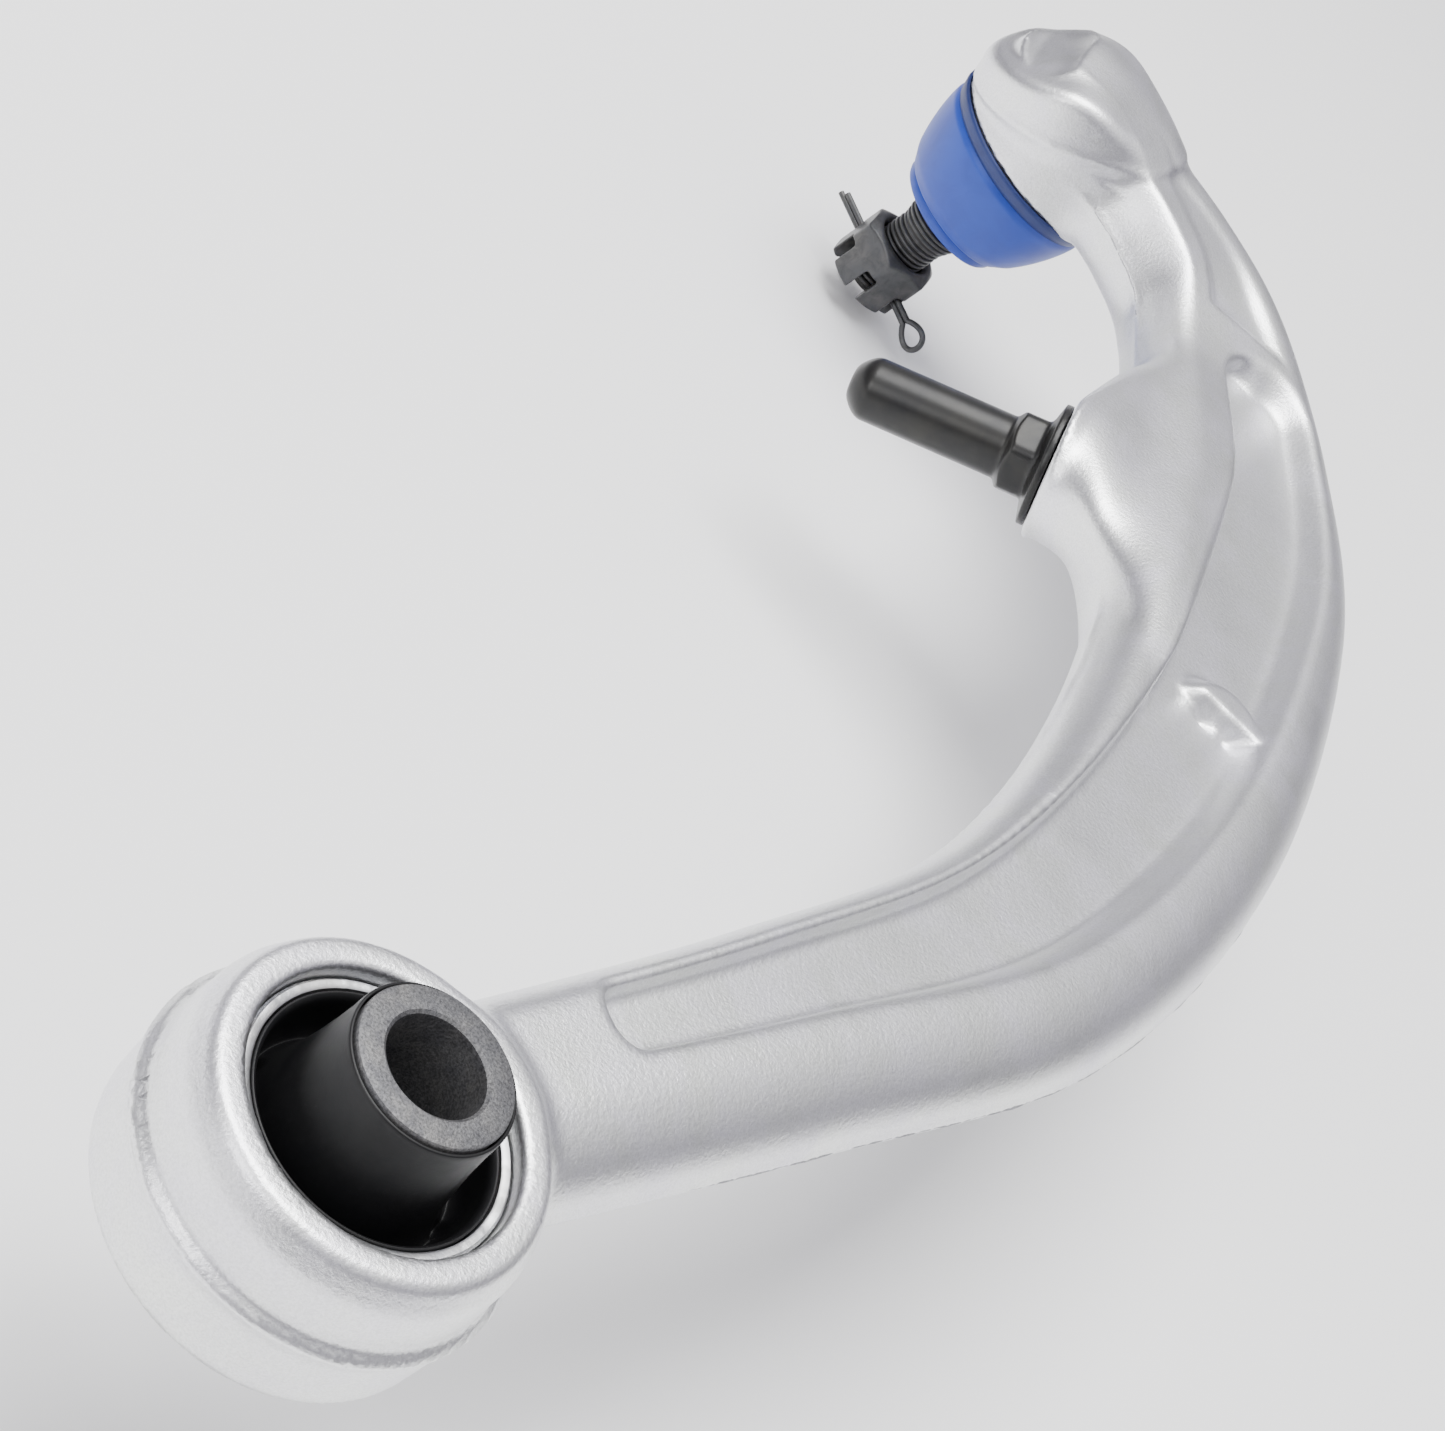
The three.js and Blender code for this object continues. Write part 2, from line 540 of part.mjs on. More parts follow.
const ALUMINIUM = [0xd6d7dc, 0.42, 0.9];
const STEEL = [0xa9abad, 0.5, 0.8];
const DARK_STEEL = [0x34363a, 0.45, 0.6];
const BLACK_RUBBER = [0x101012, 0.6, 0];
const BLUE_RUBBER = [0x2b5fc0, 0.55, 0];
const SEAT_PLASTIC = [0xe6e4da, 0.5, 0];

const controlArm = new THREE.Group();

controlArm.add(
  finish('arm_forging', toGeometry(armForging()), ...ALUMINIUM),
  finish('bush_outer_can', tube(canInner, canOuter, -canHalfLength, canHalfLength), ...STEEL),
  finish('bush_rubber', rubberGeometry(), ...BLACK_RUBBER),
  finish('bush_inner_sleeve', sleeveGeometry(), ...STEEL),
);

const pinGroup = new THREE.Group();
pinGroup.applyMatrix4(pinFrame);
pinGroup.add(finish('mount_pin', toGeometry(pinGeometry()), ...DARK_STEEL));
controlArm.add(pinGroup);

const ringOuter = bootSeatRadius + GAP + BOOT_RING_WALL;
const ballJoint = new THREE.Group();
ballJoint.applyMatrix4(ballFrame);
ballJoint.add(
  finish('ball_seat', seatGeometry(), ...SEAT_PLASTIC),
  finish('ball_seat_ring', seatRingGeometry(), ...SEAT_PLASTIC),
  finish('retaining_ring',
    tube(retainerBore, socketRadius - GAP, retainerAt, retainerAt + RETAINER_THICKNESS), ...STEEL),
  finish('boot_base_ring',
    tube(bootSeatRadius + GAP, ringOuter, BOOT_SEAT_AT + GAP, HOUSING_MOUTH), ...STEEL),
  finish('boot_skirt', bootSkirt(), ...BLUE_RUBBER),
  finish('boot_neck', bootNeck(), ...BLUE_RUBBER),
  finish('boot_neck_ring',
    tube(neckRingInner, neckRingOuter, BOOT_END - NECK_RING_LENGTH, BOOT_END), ...DARK_STEEL),
  finish('ball_stud', toGeometry(studGeometry()), ...DARK_STEEL),
  finish('castle_nut', toGeometry(nutGeometry()), ...DARK_STEEL),
  finish('cotter_pin', cotterGeometry(), ...DARK_STEEL),
);
controlArm.add(ballJoint);

export default controlArm;
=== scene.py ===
"""Looks of a curved forged control arm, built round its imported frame.

The arm is one aluminium forging with a bonded rubber bush in its eye, a steel mounting pin on the
inner side of its bend, and a booted ball joint with a castle nut and a cotter pin at its far end.
Lengths are in millimetres until a mesh is made; the meshes are in metres, in the frame's own axes.
"""

import json
import logging
import math
from collections.abc import Callable, Sequence
from dataclasses import dataclass
from enum import Enum

import bpy
import numpy as np
from mathutils import Matrix, Vector


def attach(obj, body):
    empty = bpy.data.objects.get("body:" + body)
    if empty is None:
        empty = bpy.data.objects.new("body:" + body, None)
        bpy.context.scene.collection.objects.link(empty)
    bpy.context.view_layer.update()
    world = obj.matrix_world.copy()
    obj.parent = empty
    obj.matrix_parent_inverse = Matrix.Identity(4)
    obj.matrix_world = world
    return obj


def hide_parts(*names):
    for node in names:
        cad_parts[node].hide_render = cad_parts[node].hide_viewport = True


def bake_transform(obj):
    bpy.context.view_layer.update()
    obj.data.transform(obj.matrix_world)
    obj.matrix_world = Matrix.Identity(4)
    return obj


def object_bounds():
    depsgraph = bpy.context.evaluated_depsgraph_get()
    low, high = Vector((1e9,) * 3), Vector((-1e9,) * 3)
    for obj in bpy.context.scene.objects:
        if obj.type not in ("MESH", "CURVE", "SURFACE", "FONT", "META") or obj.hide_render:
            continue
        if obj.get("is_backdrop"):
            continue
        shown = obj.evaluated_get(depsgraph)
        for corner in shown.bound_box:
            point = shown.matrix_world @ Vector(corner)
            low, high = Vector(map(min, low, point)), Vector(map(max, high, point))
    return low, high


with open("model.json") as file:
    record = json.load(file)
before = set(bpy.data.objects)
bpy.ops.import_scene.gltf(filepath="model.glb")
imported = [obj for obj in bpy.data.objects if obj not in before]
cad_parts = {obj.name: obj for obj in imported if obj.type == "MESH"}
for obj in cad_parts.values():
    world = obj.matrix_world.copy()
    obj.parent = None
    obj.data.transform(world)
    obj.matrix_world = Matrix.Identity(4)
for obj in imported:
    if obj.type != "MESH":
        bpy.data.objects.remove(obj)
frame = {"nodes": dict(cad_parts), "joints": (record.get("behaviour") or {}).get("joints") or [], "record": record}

LOG = logging.getLogger("control_arm")
MM = 0.001

Array = np.ndarray
Point = tuple[float, float, float]
Colour = tuple[float, float, float]
Profile = Sequence[tuple[float, float]]


class Body(Enum):
    """Bodies of the frame that pieces ride on."""

    ARM = "arm"
    SLEEVE = "bush_sleeve"
    BOOT_TILT = "boot_tilt"
    STUD_TILT = "stud_tilt"
    STUD = "stud"


class Slot(Enum):
    """Finishes named in the record; the script gives none of them to a new piece."""

    ALUMINIUM = "forged_aluminium"
    ZINC = "zinc_steel"
    SLEEVE = "sleeve_steel"
    BLACK_RUBBER = "black_rubber"
    PHOSPHATE = "phosphated_steel"
    BLUE_RUBBER = "blue_rubber"


# ---------------------------------------------------------------- shaping


def smoothstep(low: float, high: float, value: Array) -> Array:
    """Eases from 0 at low to 1 at high."""
    share = np.clip((value - low) / (high - low), 0.0, 1.0)
    return share * share * (3.0 - 2.0 * share)


def ease(start: float, end: float, share: Array) -> Array:
    """Goes in a straight line from start to end as share goes from 0 to 1."""
    return start + (end - start) * share


def join(first: Array, second: Array, fillet: float) -> Array:
    """Union of two distance fields with a fillet where they meet.

    Args:
        first: Signed distances, negative inside.
        second: Signed distances of the other shape.
        fillet: Size of the fillet.

    Returns:
        Signed distances of the joined shape.
    """
    near = np.maximum(fillet - np.abs(first - second), 0.0)
    return np.minimum(first, second) - near * near / (4.0 * fillet)


def meet(first: Array, second: Array, rounding: float) -> Array:
    """Intersection of two distance fields with a rounded edge."""
    return -join(-first, -second, rounding)


def rounded_box_distance(
    across: Array, up: Array, half_width: Array, half_height: Array, fullness: Array
) -> Array:
    """First-order distance to an oval whose corners fill out as its fullness rises above 2.

    Args:
        across: First coordinate from the middle.
        up: Second coordinate from the middle.
        half_width: Half axis along the first coordinate.
        half_height: Half axis along the second coordinate.
        fullness: 2 for an ellipse, more for a squarer shape.

    Returns:
        Signed distances, negative inside.
    """
    u = np.abs(across) / half_width + 1e-4
    v = np.abs(up) / half_height + 1e-4
    radius = (u**fullness + v**fullness) ** (1 / fullness)
    slope = radius ** (1 - fullness) * np.sqrt(
        (u ** (fullness - 1) / half_width) ** 2 + (v ** (fullness - 1) / half_height) ** 2
    )
    return (radius - 1.0) / slope


def curve_through(points: Array, count: int) -> Array:
    """Smooth curve through points, evenly spaced in the points' own numbering.

    Args:
        points: One row for each point.
        count: Number of places along the curve.

    Returns:
        One row for each place.
    """
    ends = np.vstack([2 * points[0] - points[1], points, 2 * points[-1] - points[-2]])
    place = np.linspace(0, len(points) - 1, count)
    index = np.minimum(place.astype(int), len(points) - 2)
    share = (place - index)[:, None]
    before, here, after, beyond = (ends[index + step] for step in range(4))
    return 0.5 * (
        2 * here
        + (after - before) * share
        + (2 * before - 5 * here + 4 * after - beyond) * share**2
        + (3 * here - before - 3 * after + beyond) * share**3
    )


def ripple(angle: Array, seed: float, waves: int = 9) -> Array:
    """Smooth irregular wave round a circle, within about -1 and 1.

    Args:
        angle: Angles round the axis.
        seed: Number that picks the wave.
        waves: Number of waves that are added up.

    Returns:
        The wave's height at each angle.
    """
    return sum(
        math.sin(seed * (k + 1.7)) * np.sin((3 + 2 * k) * angle + seed * k * 1.3) for k in range(waves)
    ) / math.sqrt(waves)


# ---------------------------------------------------------------- meshes


def mesh_piece(name: str, points: Array, faces: Sequence[Sequence[int]]) -> bpy.types.Object:
    """Makes a smooth-shaded mesh object at the origin.

    Args:
        name: The object's name.
        points: Vertices, in millimetres.
        faces: Vertex numbers of each face, counter-clockwise seen from outside.

    Returns:
        The new object.
    """
    data = bpy.data.meshes.new(name)
    data.from_pydata((np.asarray(points, float) * MM).tolist(), [], [list(map(int, f)) for f in faces])
    data.update()
    data.shade_smooth()
    piece = bpy.data.objects.new(name, data)
    bpy.context.scene.collection.objects.link(piece)
    return piece


def turned_piece(
    name: str,
    profile: Profile,
    place: Matrix,
    segments: int = 128,
    shape: Callable[[Array, Array, Array], tuple[Array, Array]] | None = None,
) -> bpy.types.Object:
    """Turns a profile about the Z axis of a frame.

    Args:
        name: The object's name.
        profile: [radius, height] points, rising on the outside. It starts and ends on the axis, or
            it closes on itself as a ring.
        place: Frame of the axis, in millimetres.
        segments: Number of steps round the axis.
        shape: Changes radius and height, given radius, height and angle.

    Returns:
        The new object.
    """
    outline = np.array(profile, float)
    angles = np.arange(segments) * 2 * math.pi / segments
    radius, angle = np.meshgrid(outline[:, 0], angles, indexing="ij")
    height = np.repeat(outline[:, 1:2], segments, axis=1)
    if shape:
        radius, height = shape(radius, height, angle)
    grid = np.stack([radius * np.cos(angle), radius * np.sin(angle), height], -1)
    ring = outline[0, 0] > 1e-6
    rows = len(outline)
    points = [grid[row] for row in range(rows)]
    if not ring:
        points = [grid[0, :1], *points[1:-1], grid[-1, :1]]
    starts = np.cumsum([0] + [len(row) for row in points])
    faces = []
    for row in range(rows if ring else rows - 1):
        below, above = row, (row + 1) % rows
        for j in range(segments):
            k = (j + 1) % segments
            low = [starts[below] + (i if len(points[below]) > 1 else 0) for i in (j, k)]
            high = [starts[above] + (i if len(points[above]) > 1 else 0) for i in (k, j)]
            faces.append(list(dict.fromkeys([*low, *high])))
    rotation = np.array(place.to_3x3())
    return mesh_piece(name, np.vstack(points) @ rotation.T + np.array(place.translation), faces)


def sharpen(piece: bpy.types.Object, degrees: float = 32.0) -> None:
    """Shades edges sharper than an angle as edges."""
    piece.data.set_sharp_from_angle(angle=math.radians(degrees))


@dataclass(frozen=True)
class FieldMesher:
    """Meshes the zero surface of a distance field.

    Attributes:
        step: Spacing of the grid.
        relaxes: Times that the vertices are evened out and settled on the surface.
    """

    step: float
    relaxes: int = 2

    def mesh(
        self, name: str, field: Callable[[Array, Array, Array], Array], low: Point, high: Point
    ) -> bpy.types.Object:
        """Makes the object.

        Args:
            name: The object's name.
            field: Signed distance at x, y and z.
            low: Lowest corner of the grid.
            high: Highest corner of the grid.

        Returns:
            The new object.
        """
        axes = [np.arange(a, b + self.step, self.step) for a, b in zip(low, high)]
        values = field(axes[0][:, None, None], axes[1][None, :, None], axes[2][None, None, :])
        points, quads = self._net(values, np.array(low))
        for _ in range(self.relaxes):
            points = self._settle(self._even(points, quads), field)
        return mesh_piece(name, points, quads)

    def _net(self, values: Array, low: Array) -> tuple[Array, Array]:
        """Vertices and faces: one vertex in each cell that the surface crosses.

        Args:
            values: The field at the grid's points.
            low: Lowest corner of the grid.

        Returns:
            The vertices and the faces.
        """
        inside = values < 0
        nx, ny, nz = (count - 1 for count in inside.shape)
        corners = sum(
            inside[i : i + nx, j : j + ny, k : k + nz].astype(np.int8)
            for i in (0, 1)
            for j in (0, 1)
            for k in (0, 1)
        )
        mixed = (corners > 0) & (corners < 8)
        cells = np.argwhere(mixed)
        number = np.full(mixed.shape, -1, np.int64)
        number[mixed] = np.arange(len(cells))
        total, hits = np.zeros((len(cells), 3)), np.zeros(len(cells))
        for axis in range(3):
            first, second = (axis + 1) % 3, (axis + 2) % 3
            for i in (0, 1):
                for j in (0, 1):
                    start = cells.copy()
                    start[:, first] += i
                    start[:, second] += j
                    end = start.copy()
                    end[:, axis] += 1
                    a, b = values[tuple(start.T)], values[tuple(end.T)]
                    crosses = (a < 0) != (b < 0)
                    at = start.astype(float)
                    at[:, axis] += np.where(crosses, a / np.where(crosses, a - b, 1.0), 0.0)
                    total += at * crosses[:, None]
                    hits += crosses
        faces = []
        for axis in range(3):
            first, second = (axis + 1) % 3, (axis + 2) % 3
            here = np.take(inside, range(inside.shape[axis] - 1), axis)
            there = np.take(inside, range(1, inside.shape[axis]), axis)
            edges = np.argwhere(here != there)
            quad = []
            for i, j in ((1, 1), (0, 1), (0, 0), (1, 0)):
                cell = edges.copy()
                cell[:, first] -= i
                cell[:, second] -= j
                quad.append(number[tuple(cell.T)])
            quad = np.stack(quad, 1)
            inward = ~here[tuple(edges.T)]
            quad[inward] = quad[inward][:, ::-1]
            faces.append(quad)
        return low + self.step * total / hits[:, None], np.vstack(faces)

    def _even(self, points: Array, quads: Array) -> Array:
        """Moves each vertex halfway to the middle of its neighbours.

        Args:
            points: One row for each vertex.
            quads: Vertex numbers of each face.

        Returns:
            The moved vertices.
        """
        total, count = np.zeros_like(points), np.zeros(len(points))
        for side in range(4):
            a, b = quads[:, side], quads[:, (side + 1) % 4]
            for axis in range(3):
                total[:, axis] += np.bincount(a, points[b, axis], len(points))
                total[:, axis] += np.bincount(b, points[a, axis], len(points))
            count += np.bincount(a, minlength=len(points)) + np.bincount(b, minlength=len(points))
        return 0.5 * points + 0.5 * total / count[:, None]

    def _settle(self, points: Array, field: Callable[[Array, Array, Array], Array]) -> Array:
        """Moves each vertex onto the surface along the field's slope.

        Args:
            points: One row for each vertex.
            field: Signed distance at x, y and z.

        Returns:
            The moved vertices.
        """
        probe = 0.1 * self.step
        for _ in range(2):
            slope = np.stack(
                [
                    (field(*(points + d * probe).T) - field(*(points - d * probe).T)) / (2 * probe)
                    for d in np.eye(3)
                ],
                1,
            )
            away = field(*points.T) / np.maximum((slope**2).sum(1), 0.25)
            points = points - slope * np.clip(away, -self.step, self.step)[:, None]
        return points


# ---------------------------------------------------------------- places


def axis_frame(at: Sequence[float], direction: Sequence[float]) -> Matrix:
    """Frame whose Z runs along a direction square to the frame's X.

    Args:
        at: The origin, in millimetres.
        direction: The Z direction, which has no X part.

    Returns:
        The frame.
    """
    up = Vector(direction).normalized()
    side = Vector((1, 0, 0))
    rows = Matrix((side, up.cross(side), up)).transposed().to_4x4()
    rows.translation = Vector(at)
    return rows


def joint_named(name: str) -> dict:
    """The frame's joint of that name."""
    return next(j for j in frame["joints"] if j["name"] == name)


def mount_named(name: str) -> dict:
    """The record's mount of that name."""
    return next(m for m in frame["record"]["mounts"] if m["name"] == name)


BUSH = Matrix.Identity(4)
_SPIN = joint_named("stud_spin")
_SHOULDER = mount_named("pin_shoulder")
BALL = axis_frame(np.array(_SPIN["pos_m"]) / MM, _SPIN["axis"])
PIN_HEX_END = 10.2
PIN_SHOULDER_RADIUS = 7.75
PIN = axis_frame(
    np.array(_SHOULDER["pos_m"]) / MM
    - PIN_HEX_END * np.array(_SHOULDER["axis"])
    - np.array([PIN_SHOULDER_RADIUS, 0, 0]),
    _SHOULDER["axis"],
)


def in_frame(place: Matrix, x: Array, y: Array, z: Array) -> tuple[Array, Array, Array]:
    """Coordinates of points in a frame.

    Args:
        place: The frame.
        x: Coordinates along the frame's X.
        y: Coordinates along the frame's Y.
        z: Coordinates along the frame's Z.

    Returns:
        The three coordinates.
    """
    turn = np.array(place.to_3x3())
    d = [a - b for a, b in zip((x, y, z), place.translation)]
    return tuple(turn[0, k] * d[0] + turn[1, k] * d[1] + turn[2, k] * d[2] for k in range(3))


def off_axis(first: Array, second: Array) -> Array:
    """Distance from an axis, from the two coordinates across it."""
    return np.sqrt(first * first + second * second)


def box_along(place: Matrix, first: float, last: float, margin: float) -> tuple[Point, Point]:
    """Box round a stretch of a frame's axis.

    Args:
        place: The frame.
        first: Start of the stretch.
        last: End of the stretch.
        margin: Room on every side.

    Returns:
        Lowest and highest corner.
    """
    ends = [place @ Vector((0, 0, at)) for at in (first, last)]
    low = tuple(min(end[k] for end in ends) - margin for k in range(3))
    return low, tuple(max(end[k] for end in ends) + margin for k in range(3))


# ---------------------------------------------------------------- node trees


class Layout:
    """A node tree while it is laid out."""

    KINDS = {float: "NodeSocketFloat", int: "NodeSocketInt", tuple: "NodeSocketColor"}

    def __init__(self, tree: bpy.types.NodeTree) -> None:
        """Starts on a tree."""
        self.tree, self.nodes, self.links = tree, tree.nodes, tree.links

    def take(self, inputs: dict[str, float | Colour]) -> dict[str, float | Colour]:
        """Args:
            inputs: Name and value of each input; a tuple is a colour.

        Returns:
            The values by socket identifier.
        """
        values = {}
        for label, value in inputs.items():
            kind = self.KINDS[type(value)]
            socket = self.tree.interface.new_socket(label, in_out="INPUT", socket_type=kind)
            socket.default_value = (*value, 1.0) if isinstance(value, tuple) else value
            values[socket.identifier] = value
        return values

    def add(self, kind: str, **values: object) -> bpy.types.Node:
        """Adds a node and sets its properties, then its inputs.

        Args:
            kind: The node's type.
            **values: Values by property, or by input in lower case with underscores for spaces.

        Returns:
            The node.
        """
        node = self.nodes.new(kind)
        for key in [key for key in values if key in node.bl_rna.properties]:
            setattr(node, key, values.pop(key))
        for socket in node.inputs:
            key = socket.name.lower().replace(" ", "_")
            if key in values and socket.enabled:
                plain = socket.type == "RGBA" and len(values[key]) == 3
                socket.default_value = (*values[key], 1.0) if plain else values[key]
        return node

    def wire(self, *pairs: tuple[bpy.types.NodeSocket, bpy.types.NodeSocket]) -> None:
        """Links each pair of sockets."""
        for source, target in pairs:
            self.links.new(source, target)

    def math(self, operation: str, *operands: object) -> bpy.types.NodeSocket:
        """A math node between sockets or numbers, and its result.

        Args:
            operation: The node's operation.
            *operands: Sockets or numbers, in the order of the node's inputs.

        Returns:
            The node's result.
        """
        node = self.add("ShaderNodeMath", operation=operation)
        for socket, value in zip(node.inputs, operands):
            if isinstance(value, bpy.types.NodeSocket):
                self.links.new(value, socket)
            else:
                socket.default_value = value
        return node.outputs[0]


class ShaderGroup(Layout):
    """A shader node group while it is laid out."""

    def __init__(self, name: str, inputs: dict[str, float | Colour], outputs: dict[str, str]) -> None:
        """Starts a group.

        Args:
            name: The group's name.
            inputs: Name and default of each input; a tuple is a colour.
            outputs: Name and socket type of each output.
        """
        super().__init__(bpy.data.node_groups.new(name, "ShaderNodeTree"))
        self.take(inputs)
        for label, kind in outputs.items():
            self.tree.interface.new_socket(label, in_out="OUTPUT", socket_type=kind)
        self.entry = self.nodes.new("NodeGroupInput").outputs
        self.exit = self.nodes.new("NodeGroupOutput").inputs


def new_material(name: str) -> tuple[bpy.types.Material, Layout, bpy.types.NodeInputs]:
    """A new material, its layout and the inputs of its shader.

    Args:
        name: The material's name.

    Returns:
        The material, its layout and its shader's inputs.
    """
    material = bpy.data.materials.new(name)
    material.use_nodes = True
    layout = Layout(material.node_tree)
    return material, layout, layout.nodes["Principled BSDF"].inputs


# ---------------------------------------------------------------- finishes


def grain_group() -> bpy.types.NodeTree:
    """Fine pits and bumps over broader unevenness, as a height.

    Returns:
        The group.
    """
    g = ShaderGroup(
        "surface_grain",
        {"Fine Scale": 1600.0, "Broad Scale": 120.0, "Broad Share": 0.3},
        {"Height": "NodeSocketFloat"},
    )
    place = g.add("ShaderNodeTexCoord").outputs["Object"]
    fine = g.add("ShaderNodeTexNoise", detail=3.0, roughness=0.65)
    broad = g.add("ShaderNodeTexNoise", detail=4.0, roughness=0.55, distortion=0.4)
    blend = g.add("ShaderNodeMix", data_type="FLOAT")
    for node, scale, slot in ((fine, "Fine Scale", 2), (broad, "Broad Scale", 3)):
        g.wire((place, node.inputs["Vector"]), (g.entry[scale], node.inputs["Scale"]))
        g.wire((node.outputs["Fac"], blend.inputs[slot]))
    g.wire((g.entry["Broad Share"], blend.inputs[0]), (blend.outputs[0], g.exit["Height"]))
    return g.tree


def stain_group() -> bpy.types.NodeTree:
    """Colour that drifts between three tints, with a rougher or smoother finish to match.

    Returns:
        The group.
    """
    grey = (0.5, 0.5, 0.5)
    sizes = {"Scale": 20.0, "Roughness": 0.4, "Roughness Spread": 0.1, "Speckle": 0.0}
    g = ShaderGroup(
        "tint_drift",
        {"Main": grey, "Warm": grey, "Cool": grey, **sizes},
        {"Color": "NodeSocketColor", "Roughness": "NodeSocketFloat"},
    )
    place = g.add("ShaderNodeTexCoord").outputs["Object"]
    drift = g.add("ShaderNodeTexNoise", detail=3.0, roughness=0.5)
    patches = g.add("ShaderNodeTexNoise", detail=5.0, roughness=0.6, distortion=0.6)
    specks = g.add("ShaderNodeTexNoise", scale=2600.0, detail=2.0, roughness=0.7)
    g.wire(*[(place, node.inputs["Vector"]) for node in (drift, patches, specks)])
    g.wire((g.entry["Scale"], drift.inputs["Scale"]))
    g.wire((g.math("MULTIPLY", g.entry["Scale"], 2.7), patches.inputs["Scale"]))
    tint = g.entry["Main"]
    for node, label in ((drift, "Warm"), (patches, "Cool")):
        share = g.add("ShaderNodeMapRange", from_min=0.42, from_max=0.68, to_min=0.0, to_max=0.8)
        mix = g.add("ShaderNodeMix", data_type="RGBA")
        g.wire((node.outputs["Fac"], share.inputs["Value"]), (share.outputs[0], mix.inputs[0]))
        g.wire((tint, mix.inputs[6]), (g.entry[label], mix.inputs[7]))
        tint = mix.outputs[2]
    dark = g.add("ShaderNodeMapRange", from_min=0.35, from_max=0.62, to_min=1.0, to_max=0.0)
    g.wire((specks.outputs["Fac"], dark.inputs["Value"]))
    shade = g.add("ShaderNodeMix", data_type="RGBA", blend_type="MULTIPLY")
    shade.inputs[7].default_value = (0.0, 0.0, 0.0, 1.0)
    g.wire((g.math("MULTIPLY", dark.outputs[0], g.entry["Speckle"]), shade.inputs[0]))
    g.wire((tint, shade.inputs[6]), (shade.outputs[2], g.exit["Color"]))
    centred = g.math("SUBTRACT", patches.outputs["Fac"], 0.5)
    rough = g.math("MULTIPLY_ADD", centred, g.entry["Roughness Spread"], g.entry["Roughness"])
    g.wire((rough, g.exit["Roughness"]))
    return g.tree


@dataclass(frozen=True)
class Finish:
    """One finish: its tints, gloss and grain.

    Attributes:
        name: The material's name.
        main: Base colour.
        warm: Tint of broad patches.
        cool: Tint of smaller patches.
        roughness: Middle roughness.
        spread: Change of roughness from patch to patch.
        metallic: 1 for bare metal.
        grain: Depth of the grain, in millimetres.
        fine: Scale of the fine grain, per metre.
        broad: Scale of the broad unevenness, per metre.
        broad_share: Share of the broad unevenness.
        patches: Scale of the tint patches, per metre.
        coat: Weight of a thin oil or skin gloss.
        sheen: Weight of a dusty sheen.
        gloss: Strength of the surface reflection of a finish that isn't metal.
        speckle: Share of the colour that the darkest specks take away.
    """

    name: str
    main: Colour
    warm: Colour
    cool: Colour
    roughness: float
    spread: float = 0.12
    metallic: float = 0.0
    grain: float = 0.05
    fine: float = 1600.0
    broad: float = 120.0
    broad_share: float = 0.3
    patches: float = 25.0
    coat: float = 0.0
    sheen: float = 0.0
    gloss: float = 0.5
    speckle: float = 0.0

    def material(self, grain: bpy.types.NodeTree, stain: bpy.types.NodeTree) -> bpy.types.Material:
        """Builds the material.

        Args:
            grain: The shared grain group.
            stain: The shared tint group.

        Returns:
            The material.
        """
        material, draft, shader = new_material(self.name)
        surface = draft.add(
            "ShaderNodeGroup", node_tree=grain,
            fine_scale=self.fine, broad_scale=self.broad, broad_share=self.broad_share,
        )  # fmt: skip
        colour = draft.add(
            "ShaderNodeGroup", node_tree=stain, main=self.main, warm=self.warm, cool=self.cool,
            scale=self.patches, roughness=self.roughness, roughness_spread=self.spread, speckle=self.speckle,
        )  # fmt: skip
        bump = draft.add("ShaderNodeBump", strength=1.0, distance=self.grain * MM)
        draft.wire(
            (surface.outputs["Height"], bump.inputs["Height"]),
            (bump.outputs["Normal"], shader["Normal"]),
            (colour.outputs["Color"], shader["Base Color"]),
            (colour.outputs["Roughness"], shader["Roughness"]),
        )
        shader["Metallic"].default_value = self.metallic
        shader["Specular IOR Level"].default_value = self.gloss
        shader["Coat Weight"].default_value = self.coat
        shader["Coat Roughness"].default_value = 0.3
        shader["Sheen Weight"].default_value = self.sheen
        shader["Sheen Roughness"].default_value = 0.5
        return material


ALUMINIUM = Finish(
    "forged_aluminium", (0.90, 0.905, 0.91), (0.91, 0.925, 0.89), (0.87, 0.86, 0.92), 0.39,
    spread=0.16, metallic=1.0, grain=0.16, fine=1300, broad=170, broad_share=0.4, patches=26, speckle=0.16,
)  # fmt: skip
TORN_FLASH = Finish(
    "torn_flash", (0.58, 0.58, 0.60), (0.70, 0.70, 0.71), (0.42, 0.42, 0.45), 0.6,
    metallic=0.8, grain=0.1, fine=2600, broad=900, broad_share=0.6, patches=300, speckle=0.3,
)  # fmt: skip
ZINC = Finish(
    "zinc_plate", (0.66, 0.67, 0.68), (0.72, 0.71, 0.68), (0.56, 0.57, 0.60), 0.38,
    metallic=1.0, grain=0.06, fine=2200, broad=500, patches=80,
)  # fmt: skip
SLEEVE_STEEL = Finish(
    "cut_steel", (0.17, 0.17, 0.175), (0.22, 0.215, 0.21), (0.12, 0.12, 0.13), 0.55,
    metallic=0.8, speckle=0.5, grain=0.12, fine=2400, broad=700, broad_share=0.4, patches=160,
)  # fmt: skip
BLACK_RUBBER = Finish(
    "black_rubber", (0.006, 0.006, 0.0065), (0.010, 0.010, 0.0105), (0.004, 0.004, 0.005), 0.42,
    grain=0.03, fine=1800, broad=150, broad_share=0.5, patches=60, gloss=0.28,
)  # fmt: skip
PHOSPHATE = Finish(
    "dark_phosphate", (0.012, 0.012, 0.012), (0.020, 0.019, 0.016), (0.008, 0.008, 0.009), 0.38,
    metallic=0.6, grain=0.02, fine=2600, broad=200, patches=70, coat=0.25,
)  # fmt: skip
